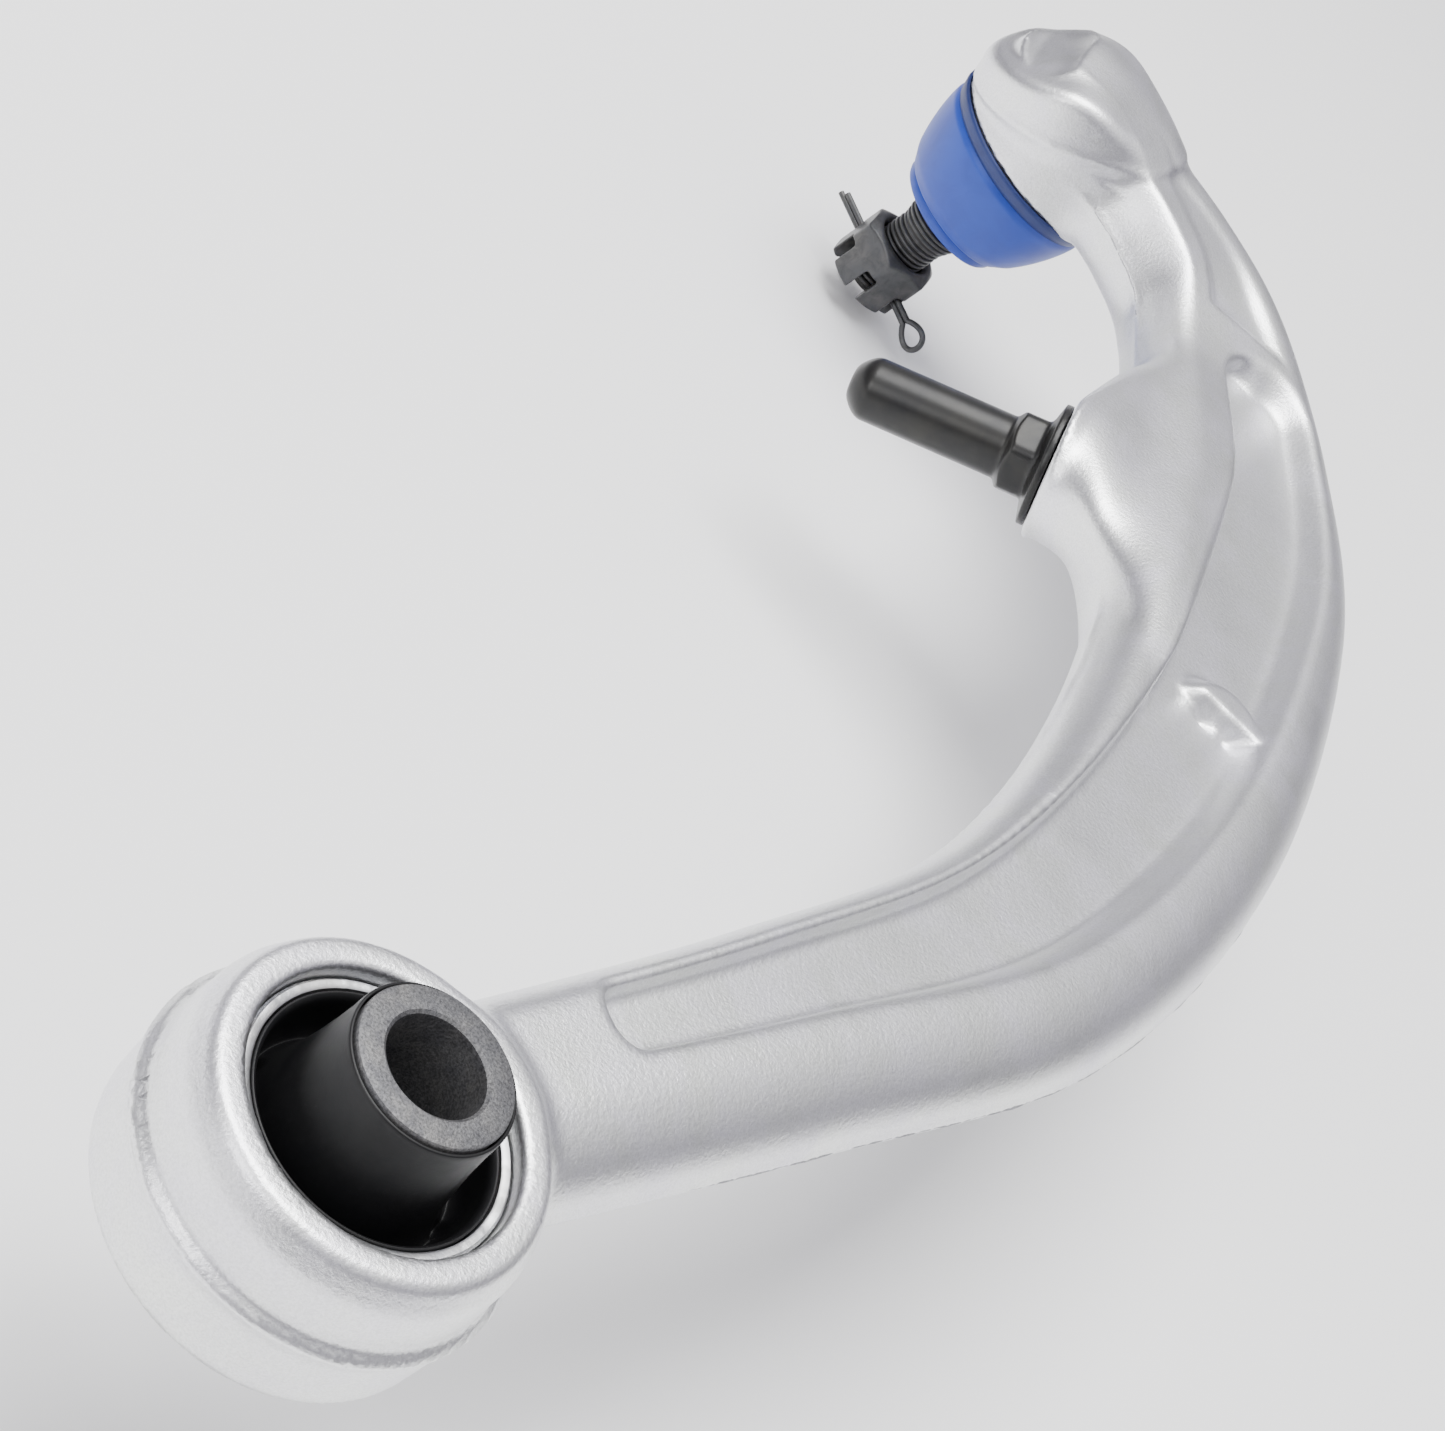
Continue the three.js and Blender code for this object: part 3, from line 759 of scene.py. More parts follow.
ROUGH_PHOSPHATE = Finish(
    "rough_phosphate", (0.052, 0.053, 0.056), (0.085, 0.082, 0.078), (0.030, 0.031, 0.034), 0.44,
    metallic=0.5, grain=0.07, fine=1900, broad=400, broad_share=0.5, patches=120, coat=0.15,
)  # fmt: skip
BLUE_RUBBER = Finish(
    "blue_boot_rubber", (0.004, 0.04, 0.34), (0.006, 0.05, 0.38), (0.003, 0.032, 0.29), 0.46,
    grain=0.03, fine=1500, broad=110, broad_share=0.6, patches=50, sheen=0.06,
)  # fmt: skip
# The same blue rubber as the belly, darkened to navy: painted shade for the groove round the boot's rim band.
BOOT_RIM_PAINTED_SHADE = Finish(
    "navy_boot_rim", (0.003, 0.016, 0.11), (0.004, 0.020, 0.13), (0.002, 0.012, 0.09), 0.5,
    grain=0.03, fine=1500, broad=110, broad_share=0.6, patches=50,
)  # fmt: skip
ACETAL = Finish(
    "natural_acetal", (0.82, 0.81, 0.76), (0.84, 0.82, 0.75), (0.79, 0.79, 0.76), 0.4,
    grain=0.02, fine=1200, patches=40,
)  # fmt: skip


class Paintbox:
    """Makes each finish once and dresses pieces in it."""

    def __init__(self) -> None:
        """Builds the groups that the finishes share."""
        self._groups = grain_group(), stain_group()
        self._made: dict[str, bpy.types.Material] = {}

    def material(self, finish: Finish) -> bpy.types.Material:
        """The finish's material, built on first use.

        Args:
            finish: The finish.

        Returns:
            The material.
        """
        if finish.name not in self._made:
            self._made[finish.name] = finish.material(*self._groups)
        return self._made[finish.name]

    def dress(self, piece: bpy.types.Object, finish: Finish) -> None:
        """Gives a new piece its material.

        Args:
            piece: The piece.
            finish: The finish.
        """
        piece.data.materials.clear()
        piece.data.materials.append(self.material(finish))

    def dress_node(self, node: str, finish: Finish) -> None:
        """Gives a carried-over node a better material, without touching its mesh."""
        for slot in frame["nodes"][node].material_slots:
            slot.material = self.material(finish)


def settle_piece(piece: bpy.types.Object, body: Body, *nodes: str) -> None:
    """Makes a piece ride on a body and stand for nodes.

    Args:
        piece: The finished piece.
        body: The body that it moves with.
        *nodes: Nodes that it stands for.
    """
    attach(piece, body.value)
    if nodes:
        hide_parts(*nodes)
    LOG.info("%s rides on %s, %d faces", piece.name, body.value, len(piece.data.polygons))


# ---------------------------------------------------------------- geometry nodes


class PathTree(Layout):
    """Geometry Nodes tree while it is laid out, with its named inputs."""

    def __init__(self, name: str, inputs: dict[str, float]) -> None:
        """Starts a tree.

        Args:
            name: The tree's name.
            inputs: Name and value of each size.
        """
        super().__init__(bpy.data.node_groups.new(name, "GeometryNodeTree"))
        geometry = {"name": "Geometry", "socket_type": "NodeSocketGeometry"}
        self.tree.interface.new_socket(in_out="INPUT", **geometry)
        self.values = self.take(inputs)
        self.tree.interface.new_socket(in_out="OUTPUT", **geometry)
        self.entry = self.nodes.new("NodeGroupInput").outputs

    def sweep(
        self, path: bpy.types.NodeSocket, radius: str, sides: int, material: bpy.types.Material
    ) -> None:
        """Sweeps a round section along a path, and ends in Realize Instances and Set Material.

        Args:
            path: The path.
            radius: Name of the input that gives the section's radius.
            sides: Number of sides of the section.
            material: The finish.
        """
        section = self.add("GeometryNodeCurvePrimitiveCircle", resolution=sides)
        sweep = self.add("GeometryNodeCurveToMesh", fill_caps=True)
        real = self.add("GeometryNodeRealizeInstances")
        paint = self.add("GeometryNodeSetMaterial", material=material)
        self.wire(
            (self.entry[radius], section.inputs["Radius"]),
            (path, sweep.inputs["Curve"]),
            (section.outputs[0], sweep.inputs["Profile Curve"]),
            (sweep.outputs[0], real.inputs[0]),
            (real.outputs[0], paint.inputs["Geometry"]),
            (paint.outputs[0], self.nodes.new("NodeGroupOutput").inputs[0]),
        )

    def grow(self, name: str, path: Array) -> bpy.types.Object:
        """Runs the tree on a path and returns the result as a plain mesh.

        Args:
            name: Name of the new object.
            path: Points of the path, in millimetres.

        Returns:
            The new object.
        """
        data = bpy.data.curves.new(f"{name}_path", "CURVE")
        data.dimensions = "3D"
        spline = data.splines.new("POLY")
        spline.points.add(len(path) - 1)
        spline.points.foreach_set("co", np.c_[np.asarray(path, float) * MM, np.ones(len(path))].ravel())
        seed = bpy.data.objects.new(data.name, data)
        bpy.context.scene.collection.objects.link(seed)
        modifier = seed.modifiers.new("grow", "NODES")
        modifier.node_group = self.tree
        for identifier, value in self.values.items():
            modifier[identifier] = value
        bpy.context.view_layer.update()
        graph = bpy.context.evaluated_depsgraph_get()
        mesh = bpy.data.meshes.new_from_object(seed.evaluated_get(graph))
        seed.modifiers.remove(modifier)
        bpy.data.objects.remove(seed)
        mesh.name = name
        mesh.shade_smooth()
        piece = bpy.data.objects.new(name, mesh)
        bpy.context.scene.collection.objects.link(piece)
        return piece


def sweep_tree(name: str, radius: float, waver: float, material: bpy.types.Material) -> PathTree:
    """Tree that sweeps a round section along the path that it is given.

    Args:
        name: The tree's name.
        radius: Radius of the section, in millimetres.
        waver: Largest sideways waver of the path, in millimetres.
        material: The finish.

    Returns:
        The tree.
    """
    tree = PathTree(name, {"Radius": radius * MM, "Waver": waver * MM})
    noise = tree.add("ShaderNodeTexNoise", scale=220.0, detail=3.0)
    centred = tree.add("ShaderNodeVectorMath", operation="SUBTRACT")
    centred.inputs[1].default_value = (0.5, 0.5, 0.5)
    shift = tree.add("ShaderNodeVectorMath", operation="SCALE")
    move = tree.add("GeometryNodeSetPosition")
    tree.wire(
        (noise.outputs["Color"], centred.inputs[0]),
        (centred.outputs[0], shift.inputs[0]),
        (tree.entry["Waver"], shift.inputs["Scale"]),
        (tree.entry["Geometry"], move.inputs["Geometry"]),
        (shift.outputs[0], move.inputs["Offset"]),
    )
    tree.sweep(move.outputs[0], "Radius", 10, material)
    return tree


# ---------------------------------------------------------------- the forging


@dataclass
class Ribbon:
    """Where points lie on the arm's centre line.

    Attributes:
        share: Share of the centre line's stations, 0 at the bush.
        along: Length along the centre line.
        side: Distance from the centre line, towards the inner side of the bend.
        past: Distance beyond either end of the centre line.
        half: Half width of the arm there.
        rise: Height of the arm's middle there.
    """

    share: Array
    along: Array
    side: Array
    past: Array
    half: Array
    rise: Array


@dataclass
class Forging:
    """The one-piece arm: eye, curved arm with its channel, boss and ball-joint housing."""

    reach: float = 400.0
    bulge: float = 95.5
    rise: float = 9.0
    half_height: float = 11.5
    outer_shoulder: float = 14.0
    inner_shoulder: float = 8.0
    neck_shoulder: float = 6.5
    ridge_height: float = 0.45
    neck_span: tuple[float, float] = (0.6, 0.72)
    neck_step: float = 1.8
    cap_span: tuple[float, float] = (0.93, 1.0)
    cap_rise: float = 2.5
    channel_depth: float = 5.6
    channel_ends: tuple[float, float] = (0.058, 0.614)
    channel_drafts: tuple[float, float] = (0.9, 0.12)
    channel_edge: float = 1.6
    channel_foot: float = 1.8
    channel_rounding: float = 0.85
    channel_run_in: tuple[float, float] = (0.05, 0.2)
    shallow_share: float = 0.75
    inner_rims: tuple[float, float] = (5.5, 18.0)
    inner_rim_span: tuple[float, float] = (0.2, 0.5)
    outer_rims: tuple[float, float] = (16.5, 10.5)
    outer_rim_span: tuple[float, float] = (0.3, 0.6)
    pad_at: tuple[float, float] = (236.0, -96.5)
    pad_height: float = 3.4
    dents_at: tuple[float, float] = (-3.4, 3.6)
    dent_depth: float = 2.0
    hollow_at: tuple[float, float] = (378.0, -62.0)
    hollow_depth: float = 2.8
    hollow_fade: tuple[float, float] = (-2.0, 20.0)
    hollow_edge: float = 2.4
    eye_bore: float = 19.8
    eye_half_height: float = 13.2
    eye_front: float = 26.4
    eye_back: float = 27.4
    eye_lean: float = 1.4
    eye_edge: float = 1.5
    ledge_height: float = 0.55
    eye_fillet: float = 4.0
    draft: float = 0.055
    bore_edge: float = 0.9
    boss_radius: float = 15.6
    boss_half_height: float = 14.8
    boss_flares: tuple[float, float] = (12.0, 40.0)
    boss_depth: float = 34.0
    boss_edge: float = 1.6
    boss_fillet: float = 10.0
    pin_hole: float = 7.3
    pin_hole_depth: float = 16.3
    band_radius: float = 24.3
    boot_seat_radius: float = 22.3
    boot_seat_at: float = 8.5
    mouth_at: float = 13.0
    socket_radius: float = 14.8
    forged_radius: float = 26.0
    forged_at: Point = (0.0, -2.4, -5.8)
    forged_tilt: float = 20.0
    lumps_at: tuple[tuple[float, float], ...] = ((12.6, 17.5), (19.0, 8.0))
    lump_height: float = 0.7
    housing_fillets: tuple[float, float] = (4.6, 9.0)
    flash_radius: float = 0.28
    flash_waver: float = 1.0
    step: float = 1.1

    # corners of the grid
    GRID = ((-31, -130, -21), (431, 32, 31))

    # name, side of the arm, and first and last share of the centre line
    FLASHES = (("outer_flash", -1, 0.07, 0.93), ("neck_flash", 1, 0.66, 0.9))

    # share of the reach, share of the bulge, share of the rise, half width
    STATIONS = (
        (0, 0, 0, 14.5),
        (0.185, 0.466, 0, 17.8),
        (0.346, 0.817, 0, 22.2),
        (0.539, 0.979, 0, 27),
        (0.745, 0.962, 0, 30),
        (0.873, 0.828, 0.05, 28.6),
        (0.947, 0.662, 0.35, 25.2),
        (0.983, 0.434, 0.7, 22.2),
        (0.999, 0.16, 0.95, 20),
        (1.002, -0.02, 1, 18.8),
    )

    def __post_init__(self) -> None:
        """Lays out the centre line and the map from places to it."""
        scale = np.array([self.reach, -self.bulge, self.rise, 1.0])
        line = curve_through(np.array(self.STATIONS, float) * scale, 901)
        self._line = line[:, :2]
        self._rise, self._half = line[:, 2], line[:, 3]
        self._share = np.linspace(0, 1, len(line))
        steps = np.linalg.norm(np.diff(self._line, axis=0), axis=1)
        self._along = np.r_[0, np.cumsum(steps)]
        self._map_low, self._map_step = np.array([-34.0, -134.0]), 2.0
        xs = np.arange(self._map_low[0], 440, self._map_step)
        ys = np.arange(self._map_low[1], 40, self._map_step)
        self._map = np.stack([self._nearest(x, ys) for x in xs])

    def _nearest(self, x: float, ys: Array) -> Array:
        """Share, side and overshoot of one row of places, from the nearest stretch of the line.

        Args:
            x: The row's first coordinate.
            ys: Second coordinates of the places.

        Returns:
            One row for each place.
        """
        away = (self._line[None, :, 0] - x) ** 2 + (self._line[None, :, 1] - ys[:, None]) ** 2
        index = np.clip(away.argmin(1), 1, len(self._line) - 2)
        tangent = self._line[index + 1] - self._line[index - 1]
        tangent /= np.linalg.norm(tangent, axis=1)[:, None]
        offset = np.stack([np.full(len(ys), x), ys], 1) - self._line[index]
        forward = (offset * tangent).sum(1)
        spacing = self._along[index + 1] - self._along[index]
        share = self._share[index] + forward / spacing * self._share[1]
        side = tangent[:, 0] * offset[:, 1] - tangent[:, 1] * offset[:, 0]
        past = np.where(share > 1, forward, np.where(share < 0, -forward, -5.0))
        return np.stack([share, side, past], 1)

    def ribbon(self, x: Array, y: Array) -> Ribbon:
        """Finds places on the centre line.

        Args:
            x: First coordinates.
            y: Second coordinates.

        Returns:
            The places.
        """
        u = (x - self._map_low[0]) / self._map_step
        v = (y - self._map_low[1]) / self._map_step
        i = np.clip(np.floor(u).astype(int), 0, self._map.shape[0] - 2)
        j = np.clip(np.floor(v).astype(int), 0, self._map.shape[1] - 2)
        a, b = (u - i)[..., None], (v - j)[..., None]
        found = (self._map[i, j] * (1 - a) + self._map[i + 1, j] * a) * (1 - b)
        found = found + (self._map[i, j + 1] * (1 - a) + self._map[i + 1, j + 1] * a) * b
        share = np.clip(found[..., 0], 0, 1)
        along, half, rise = (np.interp(share, self._share, v) for v in (self._along, self._half, self._rise))
        return Ribbon(share, along, found[..., 1], found[..., 2], half, rise)

    def _bar(self, place: Ribbon, lift: Array) -> Array:
        """The curved bar: flat faces with a rounded shoulder on each side.

        Args:
            place: Where the points lie on the centre line.
            lift: Heights of the points above the arm's middle.

        Returns:
            Signed distances, negative inside.
        """
        neck = smoothstep(*self.neck_span, place.share)
        inner = ease(self.inner_shoulder, self.neck_shoulder, neck)
        rise = self.neck_step * neck + self.cap_rise * smoothstep(*self.cap_span, place.share)
        height = self.half_height + np.where(lift > 0, rise, 0.0)
        ridge = self.ridge_height * np.exp(-(lift**2))
        shoulder = np.where(place.side > 0, inner, self.outer_shoulder)
        across = np.maximum(np.abs(place.side) - (place.half + ridge - shoulder), 0.0)
        fullness = np.where((place.side > 0) & (lift > 0), 2.0 - 0.6 * neck, 2.0)
        bar = rounded_box_distance(across, lift, shoulder, height, fullness)
        return np.maximum(bar, place.past)

    def _channel(self, place: Ribbon, lift: Array) -> Array:
        """The pocket between the two rims, on both faces, with its half-moon pad.

        Args:
            place: Where the points lie on the centre line.
            lift: Heights of the points above the arm's middle.

        Returns:
            Signed distances, negative inside.
        """
        inner = ease(*self.inner_rims, smoothstep(*self.inner_rim_span, place.share))
        outer = ease(*self.outer_rims, smoothstep(*self.outer_rim_span, place.share))
        width = place.half - (inner + outer) / 2
        corner = self.channel_rounding * width
        first, last = np.interp(self.channel_ends, self._share, self._along)
        across = np.abs(place.side - (outer - inner) / 2) - width + corner
        end = np.maximum(first - place.along, place.along - last) + corner
        plan = np.sqrt(np.maximum(across, 0) ** 2 + np.maximum(end, 0) ** 2)
        plan = plan + np.minimum(np.maximum(across, end), 0) - corner
        start = smoothstep(*self.channel_run_in, place.share)
        depth = self.channel_depth * ease(self.shallow_share, 1.0, start)
        floor = self.half_height - depth + np.where(lift > 0, self._pad(place), 0.0)
        draft = ease(*self.channel_drafts, smoothstep(-0.3, 0.3, place.side / np.maximum(width, 1)))
        wall = plan + draft * (self.half_height - np.abs(lift))
        return meet(wall, floor - np.abs(lift), self.channel_foot)

    def _beside(self, place: Ribbon, at: tuple[float, float]) -> tuple[Array, Array]:
        """How far places lie along and across the arm from a point on it."""
        centre = self.ribbon(*np.array(at))
        return place.along - centre.along, place.side - centre.side

    def _pad(self, place: Ribbon) -> Array:
        """Height of the half-moon pad above the channel's floor, less the dents at its foot.

        Args:
            place: Where the points lie on the centre line.

        Returns:
            Heights.
        """
        a, b = self._beside(place, self.pad_at)
        dome = 1 - smoothstep(0.6, 1.05, np.sqrt((a / 11.0) ** 2 + (b / 11.5) ** 2))
        pad = self.pad_height * dome * smoothstep(-2.2, 0.2, a)
        for offset in self.dents_at:
            pad = pad - self.dent_depth * np.exp(-(((a + 2.6) / 2.0) ** 2) - ((b - offset) / 2.4) ** 2)
        return pad

    def _hollow(self, place: Ribbon, lift: Array) -> Array:
        """The small hollow on the neck, steep towards the boss and fading towards the housing.

        Args:
            place: Where the points lie on the centre line.
            lift: Heights of the points above the arm's middle.

        Returns:
            Signed distances, negative inside.
        """
        a, b = self._beside(place, self.hollow_at)
        top = self.half_height + self.neck_step
        floor = top - self.hollow_depth * (1 - smoothstep(*self.hollow_fade, a))
        plan = np.maximum(np.abs(b) - 10.0 + 0.2 * a, -a - 6.0 + 0.35 * b)
        return meet(plan + 0.5 * (top - lift), floor - lift, 2.5)

    def _eye(self, x: Array, y: Array, z: Array) -> Array:
        """The eye: a drafted ring with the trimmed ledge of its parting line.

        Args:
            x: Coordinates along the frame's X.
            y: Coordinates along the frame's Y.
            z: Coordinates along the frame's Z.

        Returns:
            Signed distances, negative inside.
        """
        ledge = 1.0 + 0.14 * ripple(np.arctan2(y, x), 2.3)
        lean = self.eye_lean * smoothstep(self.eye_half_height - 5.0, self.eye_half_height, z)
        front = self.eye_front - self.draft * z - lean
        back = self.eye_back + self.draft * z
        outside = ease(back, front, smoothstep(0.3, 1.2, z))
        outside = outside + ledge * self.ledge_height * np.exp(-(((z + 0.2) / 1.0) ** 2))
        return meet(off_axis(x, y) - outside, np.abs(z) - self.eye_half_height, self.eye_edge)

    def _boss(self, x: Array, y: Array, z: Array) -> Array:
        """The pin's boss: round at its seat and widening into the arm.

        Args:
            x: Coordinates along the frame's X.
            y: Coordinates along the frame's Y.
            z: Coordinates along the frame's Z.

        Returns:
            Signed distances, negative inside.
        """
        seat = PIN.translation
        height = in_frame(PIN, x, y, z)[2]
        depth = np.maximum(-height, 0.0)
        share = smoothstep(0.0, 13.0, depth)
        near, far = self.boss_flares
        left = self.boss_radius + near * (depth / 17.0) ** 1.5
        right = self.boss_radius + far * (1 - np.exp(-((depth / 5.0) ** 1.3)))
        body = rounded_box_distance(
            x - seat.x - (right - left) / 2,
            z - seat.z * (1 - share),
            (left + right) / 2,
            ease(self.boss_half_height, self.half_height - 0.3, share),
            2.0 + 1.4 * share,
        )
        return np.maximum(meet(body, height, self.boss_edge), depth - self.boss_depth)

    def _housing(self, x: Array, y: Array, z: Array) -> Array:
        """The ball joint's housing: a turned band under a forged back with a tilt of its own.

        Args:
            x: Coordinates along the frame's X.
            y: Coordinates along the frame's Y.
            z: Coordinates along the frame's Z.

        Returns:
            Signed distances, negative inside.
        """
        u, v, d = in_frame(BALL, x, y, z)
        out = off_axis(u, v)
        band = meet(out - self.band_radius, np.maximum(d - self.boot_seat_at, -d - 8.0), 0.5)
        seat = np.maximum(out - self.boot_seat_radius, np.maximum(d - self.mouth_at, -d))
        tilt = math.radians(self.forged_tilt)
        forged_axis = axis_frame(BALL @ Vector(self.forged_at), (0, math.sin(tilt), math.cos(tilt)))
        fu, fv, w = in_frame(forged_axis, x, y, z)
        up = np.maximum(w, 0)
        out = np.sqrt((fu + 0.1 * up) ** 2 + (fv - 0.06 * up) ** 2)
        wall = out - (self.forged_radius - np.where(w > 0, 0.16 * w, -0.38 * w))
        wall = wall - 0.35 * np.exp(-((w / 0.9) ** 2))
        crown = join(14.2 - 0.2 * fv, 15.0 + 0.55 * (fv + 3.0), 5.0) - 1.5 * (out / 24.0) ** 2
        for at_u, at_v in self.lumps_at:
            crown = crown + self.lump_height * np.exp(-((fu - at_u) ** 2 + (fv - at_v) ** 2) / 20.0)
        forged = meet(meet(wall, w - crown, 3.0), -w - 4.4, 1.2)
        return np.minimum(join(band, forged, 0.8), seat)

    def _cuts(self, x: Array, y: Array, z: Array) -> Array:
        """Bore of the eye, socket of the ball joint and hole of the pin.

        Args:
            x: Coordinates along the frame's X.
            y: Coordinates along the frame's Y.
            z: Coordinates along the frame's Z.

        Returns:
            Signed distances, negative inside.
        """
        bore = off_axis(x, y) - self.eye_bore
        u, v, d = in_frame(BALL, x, y, z)
        out = off_axis(u, v)
        ball = np.sqrt(out**2 + d * d) - self.socket_radius
        barrel = np.maximum(out - self.socket_radius + smoothstep(10.3, 10.7, d), -d)
        u, v, d = in_frame(PIN, x, y, z)
        hole = np.maximum(off_axis(u, v) - self.pin_hole, np.abs(d) - self.pin_hole_depth)
        return np.minimum(np.minimum(bore, hole), np.minimum(ball, barrel))

    def field(self, x: Array, y: Array, z: Array) -> Array:
        """Signed distance to the forging, negative inside.

        Args:
            x: Coordinates along the frame's X.
            y: Coordinates along the frame's Y.
            z: Coordinates along the frame's Z.

        Returns:
            Signed distances, negative inside.
        """
        place = self.ribbon(x, y)
        lift = z - place.rise
        shape = join(self._bar(place, lift), self._boss(x, y, z), self.boss_fillet)
        shape = meet(shape, -self._channel(place, lift), self.channel_edge)
        shape = meet(shape, -self._hollow(place, lift), self.hollow_edge)
        shape = join(shape, self._eye(x, y, z), self.eye_fillet)
        fillet = ease(*self.housing_fillets, smoothstep(386, 404, x))
        shape = join(shape, self._housing(x, y, z), fillet)
        return meet(shape, -self._cuts(x, y, z), self.bore_edge)

    def build(self, paint: Paintbox) -> None:
        """Makes the forging and its flash lines.

        Args:
            paint: The finishes.
        """
        mesher = FieldMesher(self.step)
        arm = mesher.mesh("arm", self.field, *self.GRID)
        paint.dress(arm, ALUMINIUM)
        settle_piece(arm, Body.ARM, "arm_forging")
        for name, side, first, last in self.FLASHES:
            tree = sweep_tree(name, self.flash_radius, self.flash_waver, paint.material(TORN_FLASH))
            flash = tree.grow(name, self._flash_line(side, first, last))
            settle_piece(flash, Body.ARM)

    def _flash_line(self, side: int, first: float, last: float) -> Array:
        """Points of the parting line on one side of the arm.

        Args:
            side: 1 for the inner side of the bend, -1 for the outer.
            first: Share of the centre line where the parting line starts.
            last: Share of the centre line where it ends.

        Returns:
            One row for each point, in millimetres.
        """
        share = np.linspace(first, last, 260)
        line = np.stack([np.interp(share, self._share, self._line[:, k]) for k in (0, 1)], 1)
        tangent = np.gradient(line, axis=0)
        tangent /= np.linalg.norm(tangent, axis=1)[:, None]
        inward = np.stack([-tangent[:, 1], tangent[:, 0]], 1)
        half = np.interp(share, self._share, self._half) + 0.2
        return np.c_[line + side * half[:, None] * inward, np.interp(share, self._share, self._rise)]


# ---------------------------------------------------------------- the bush


@dataclass
class Bush:
    """Outer can, bonded rubber and inner sleeve, turned about the frame's Z axis."""

    can_radius: float = 19.5
    can_wall: float = 1.5
    can_half_length: float = 10.8
    sleeve_radius: float = 11.2
    sleeve_half_length: float = 23.5
    bore_radius: float = 7.1
    gap: float = 0.3
    trough: float = 2.6
    dimple_radius: float = 1.7

    def _can(self) -> bpy.types.Object:
        """The can, with its roughly cut rims.

        Returns:
            The new object.
        """
        inner, end = self.can_radius - self.can_wall, self.can_half_length
        outer = self.can_radius
        profile = [
            (inner, -end + 0.2), (inner + 0.3, -end), (outer - 0.4, -end), (outer, -end + 0.4),
            (outer, end - 0.4), (outer - 0.4, end), (inner + 0.3, end), (inner, end - 0.2),
        ]  # fmt: skip

        def cut(radius: Array, height: Array, angle: Array) -> tuple[Array, Array]:
            """Roughens the rims."""
            rough = 0.07 * ripple(angle, 4.1, 12) + 0.03 * ripple(5 * angle, 2.2)
            return radius, height + np.where(height > 0, rough, -rough)

        return turned_piece("bush_can", profile, BUSH, 256, cut)

    def _rubber_half(self) -> list[tuple[float, float]]:
        """Upper half of the rubber's section, from the can inwards and up the sleeve.

        Returns:
            [radius, height] points.
        """
        bond, wall = self.sleeve_radius + self.gap, self.can_radius - self.can_wall - self.gap
        room = wall - bond
        points = [
            (wall, self.can_half_length - 0.3),
            (wall - 0.35, self.can_half_length - 0.25),
            (wall - 0.95, self.can_half_length - 1.2),
            (wall - 1.1, self.trough + 4.2),
            (wall - 1.4, self.trough + 1.6),
            (wall - 2.2, self.trough),
            (bond + 0.56 * room, self.trough + 0.5),
            (bond + 0.42 * room, self.trough + 2.2),
            (bond + 0.31 * room, self.trough + 5.0),
            (bond + 0.22 * room, self.trough + 8.6),
            (bond + 0.14 * room, 0.66 * self.sleeve_half_length),
            (bond + 0.09 * room, 0.83 * self.sleeve_half_length),
            (bond + 0.07 * room, self.sleeve_half_length - 1.1),
            (bond, self.sleeve_half_length - 0.7),
        ]
        return curve_through(np.array(points), 60).tolist()

    def _rubber(self) -> bpy.types.Object:
        """The rubber, with a round dimple on each side of its trough.

        Returns:
            The new object.
        """
        half = self._rubber_half()
        below = [(radius, -height) for radius, height in reversed(half)]
        middle = self.sleeve_radius + 0.5 * (self.can_radius - self.sleeve_radius)

        def dimpled(radius: Array, height: Array, angle: Array) -> tuple[Array, Array]:
            """Sinks the dimples into the trough.

            Args:
                radius: Distances from the axis.
                height: Heights along the axis.
                angle: Angles round the axis.

            Returns:
                The changed radius and height.
            """
            pits = np.zeros_like(radius)
            for side in (-1, 1):
                away = (radius * np.cos(angle)) ** 2 + (radius * np.sin(angle) - side * middle) ** 2
                pits += 1.5 * (1 - smoothstep(0.5, 1.1, np.sqrt(away) / self.dimple_radius))
            pits *= 1 - smoothstep(self.trough + 0.8, self.trough + 2.5, np.abs(height))
            return radius, height - np.sign(height) * np.minimum(pits, np.abs(height) - 0.5)

        return turned_piece("bush_rubber_ring", [*below, *half], BUSH, 256, dimpled)

    def _sleeve(self) -> bpy.types.Object:
        """The inner sleeve, chamfered at its bore and eased at its outer edges.

        Returns:
            The new object.
        """
        end, outer, bore = self.sleeve_half_length, self.sleeve_radius, self.bore_radius
        profile = [
            (bore + 0.55, -end), (outer - 0.45, -end), (outer - 0.12, -end + 0.12), (outer, -end + 0.45),
            (outer, end - 0.45), (outer - 0.12, end - 0.12), (outer - 0.45, end), (bore + 0.55, end),
            (bore + 0.1, end - 0.35), (bore, end - 0.8), (bore, -end + 0.8), (bore + 0.1, -end + 0.35),
        ]  # fmt: skip
        sleeve = turned_piece("bush_sleeve_tube", profile, BUSH)
        sharpen(sleeve)
        return sleeve

    def build(self, paint: Paintbox) -> None:
        """Makes the three pieces.

        Args:
            paint: The finishes.
        """
        can, rubber, sleeve = self._can(), self._rubber(), self._sleeve()
        sharpen(can, 40)
        for piece, finish, slot, body, node in (
            (can, ZINC, Slot.ZINC, Body.ARM, "bush_outer_can"),
            (rubber, BLACK_RUBBER, Slot.BLACK_RUBBER, Body.ARM, "bush_rubber"),
            (sleeve, SLEEVE_STEEL, Slot.SLEEVE, Body.SLEEVE, "bush_inner_sleeve"),
        ):
            paint.dress(piece, finish)
            settle_piece(piece, body, node)


# ---------------------------------------------------------------- the mounting pin


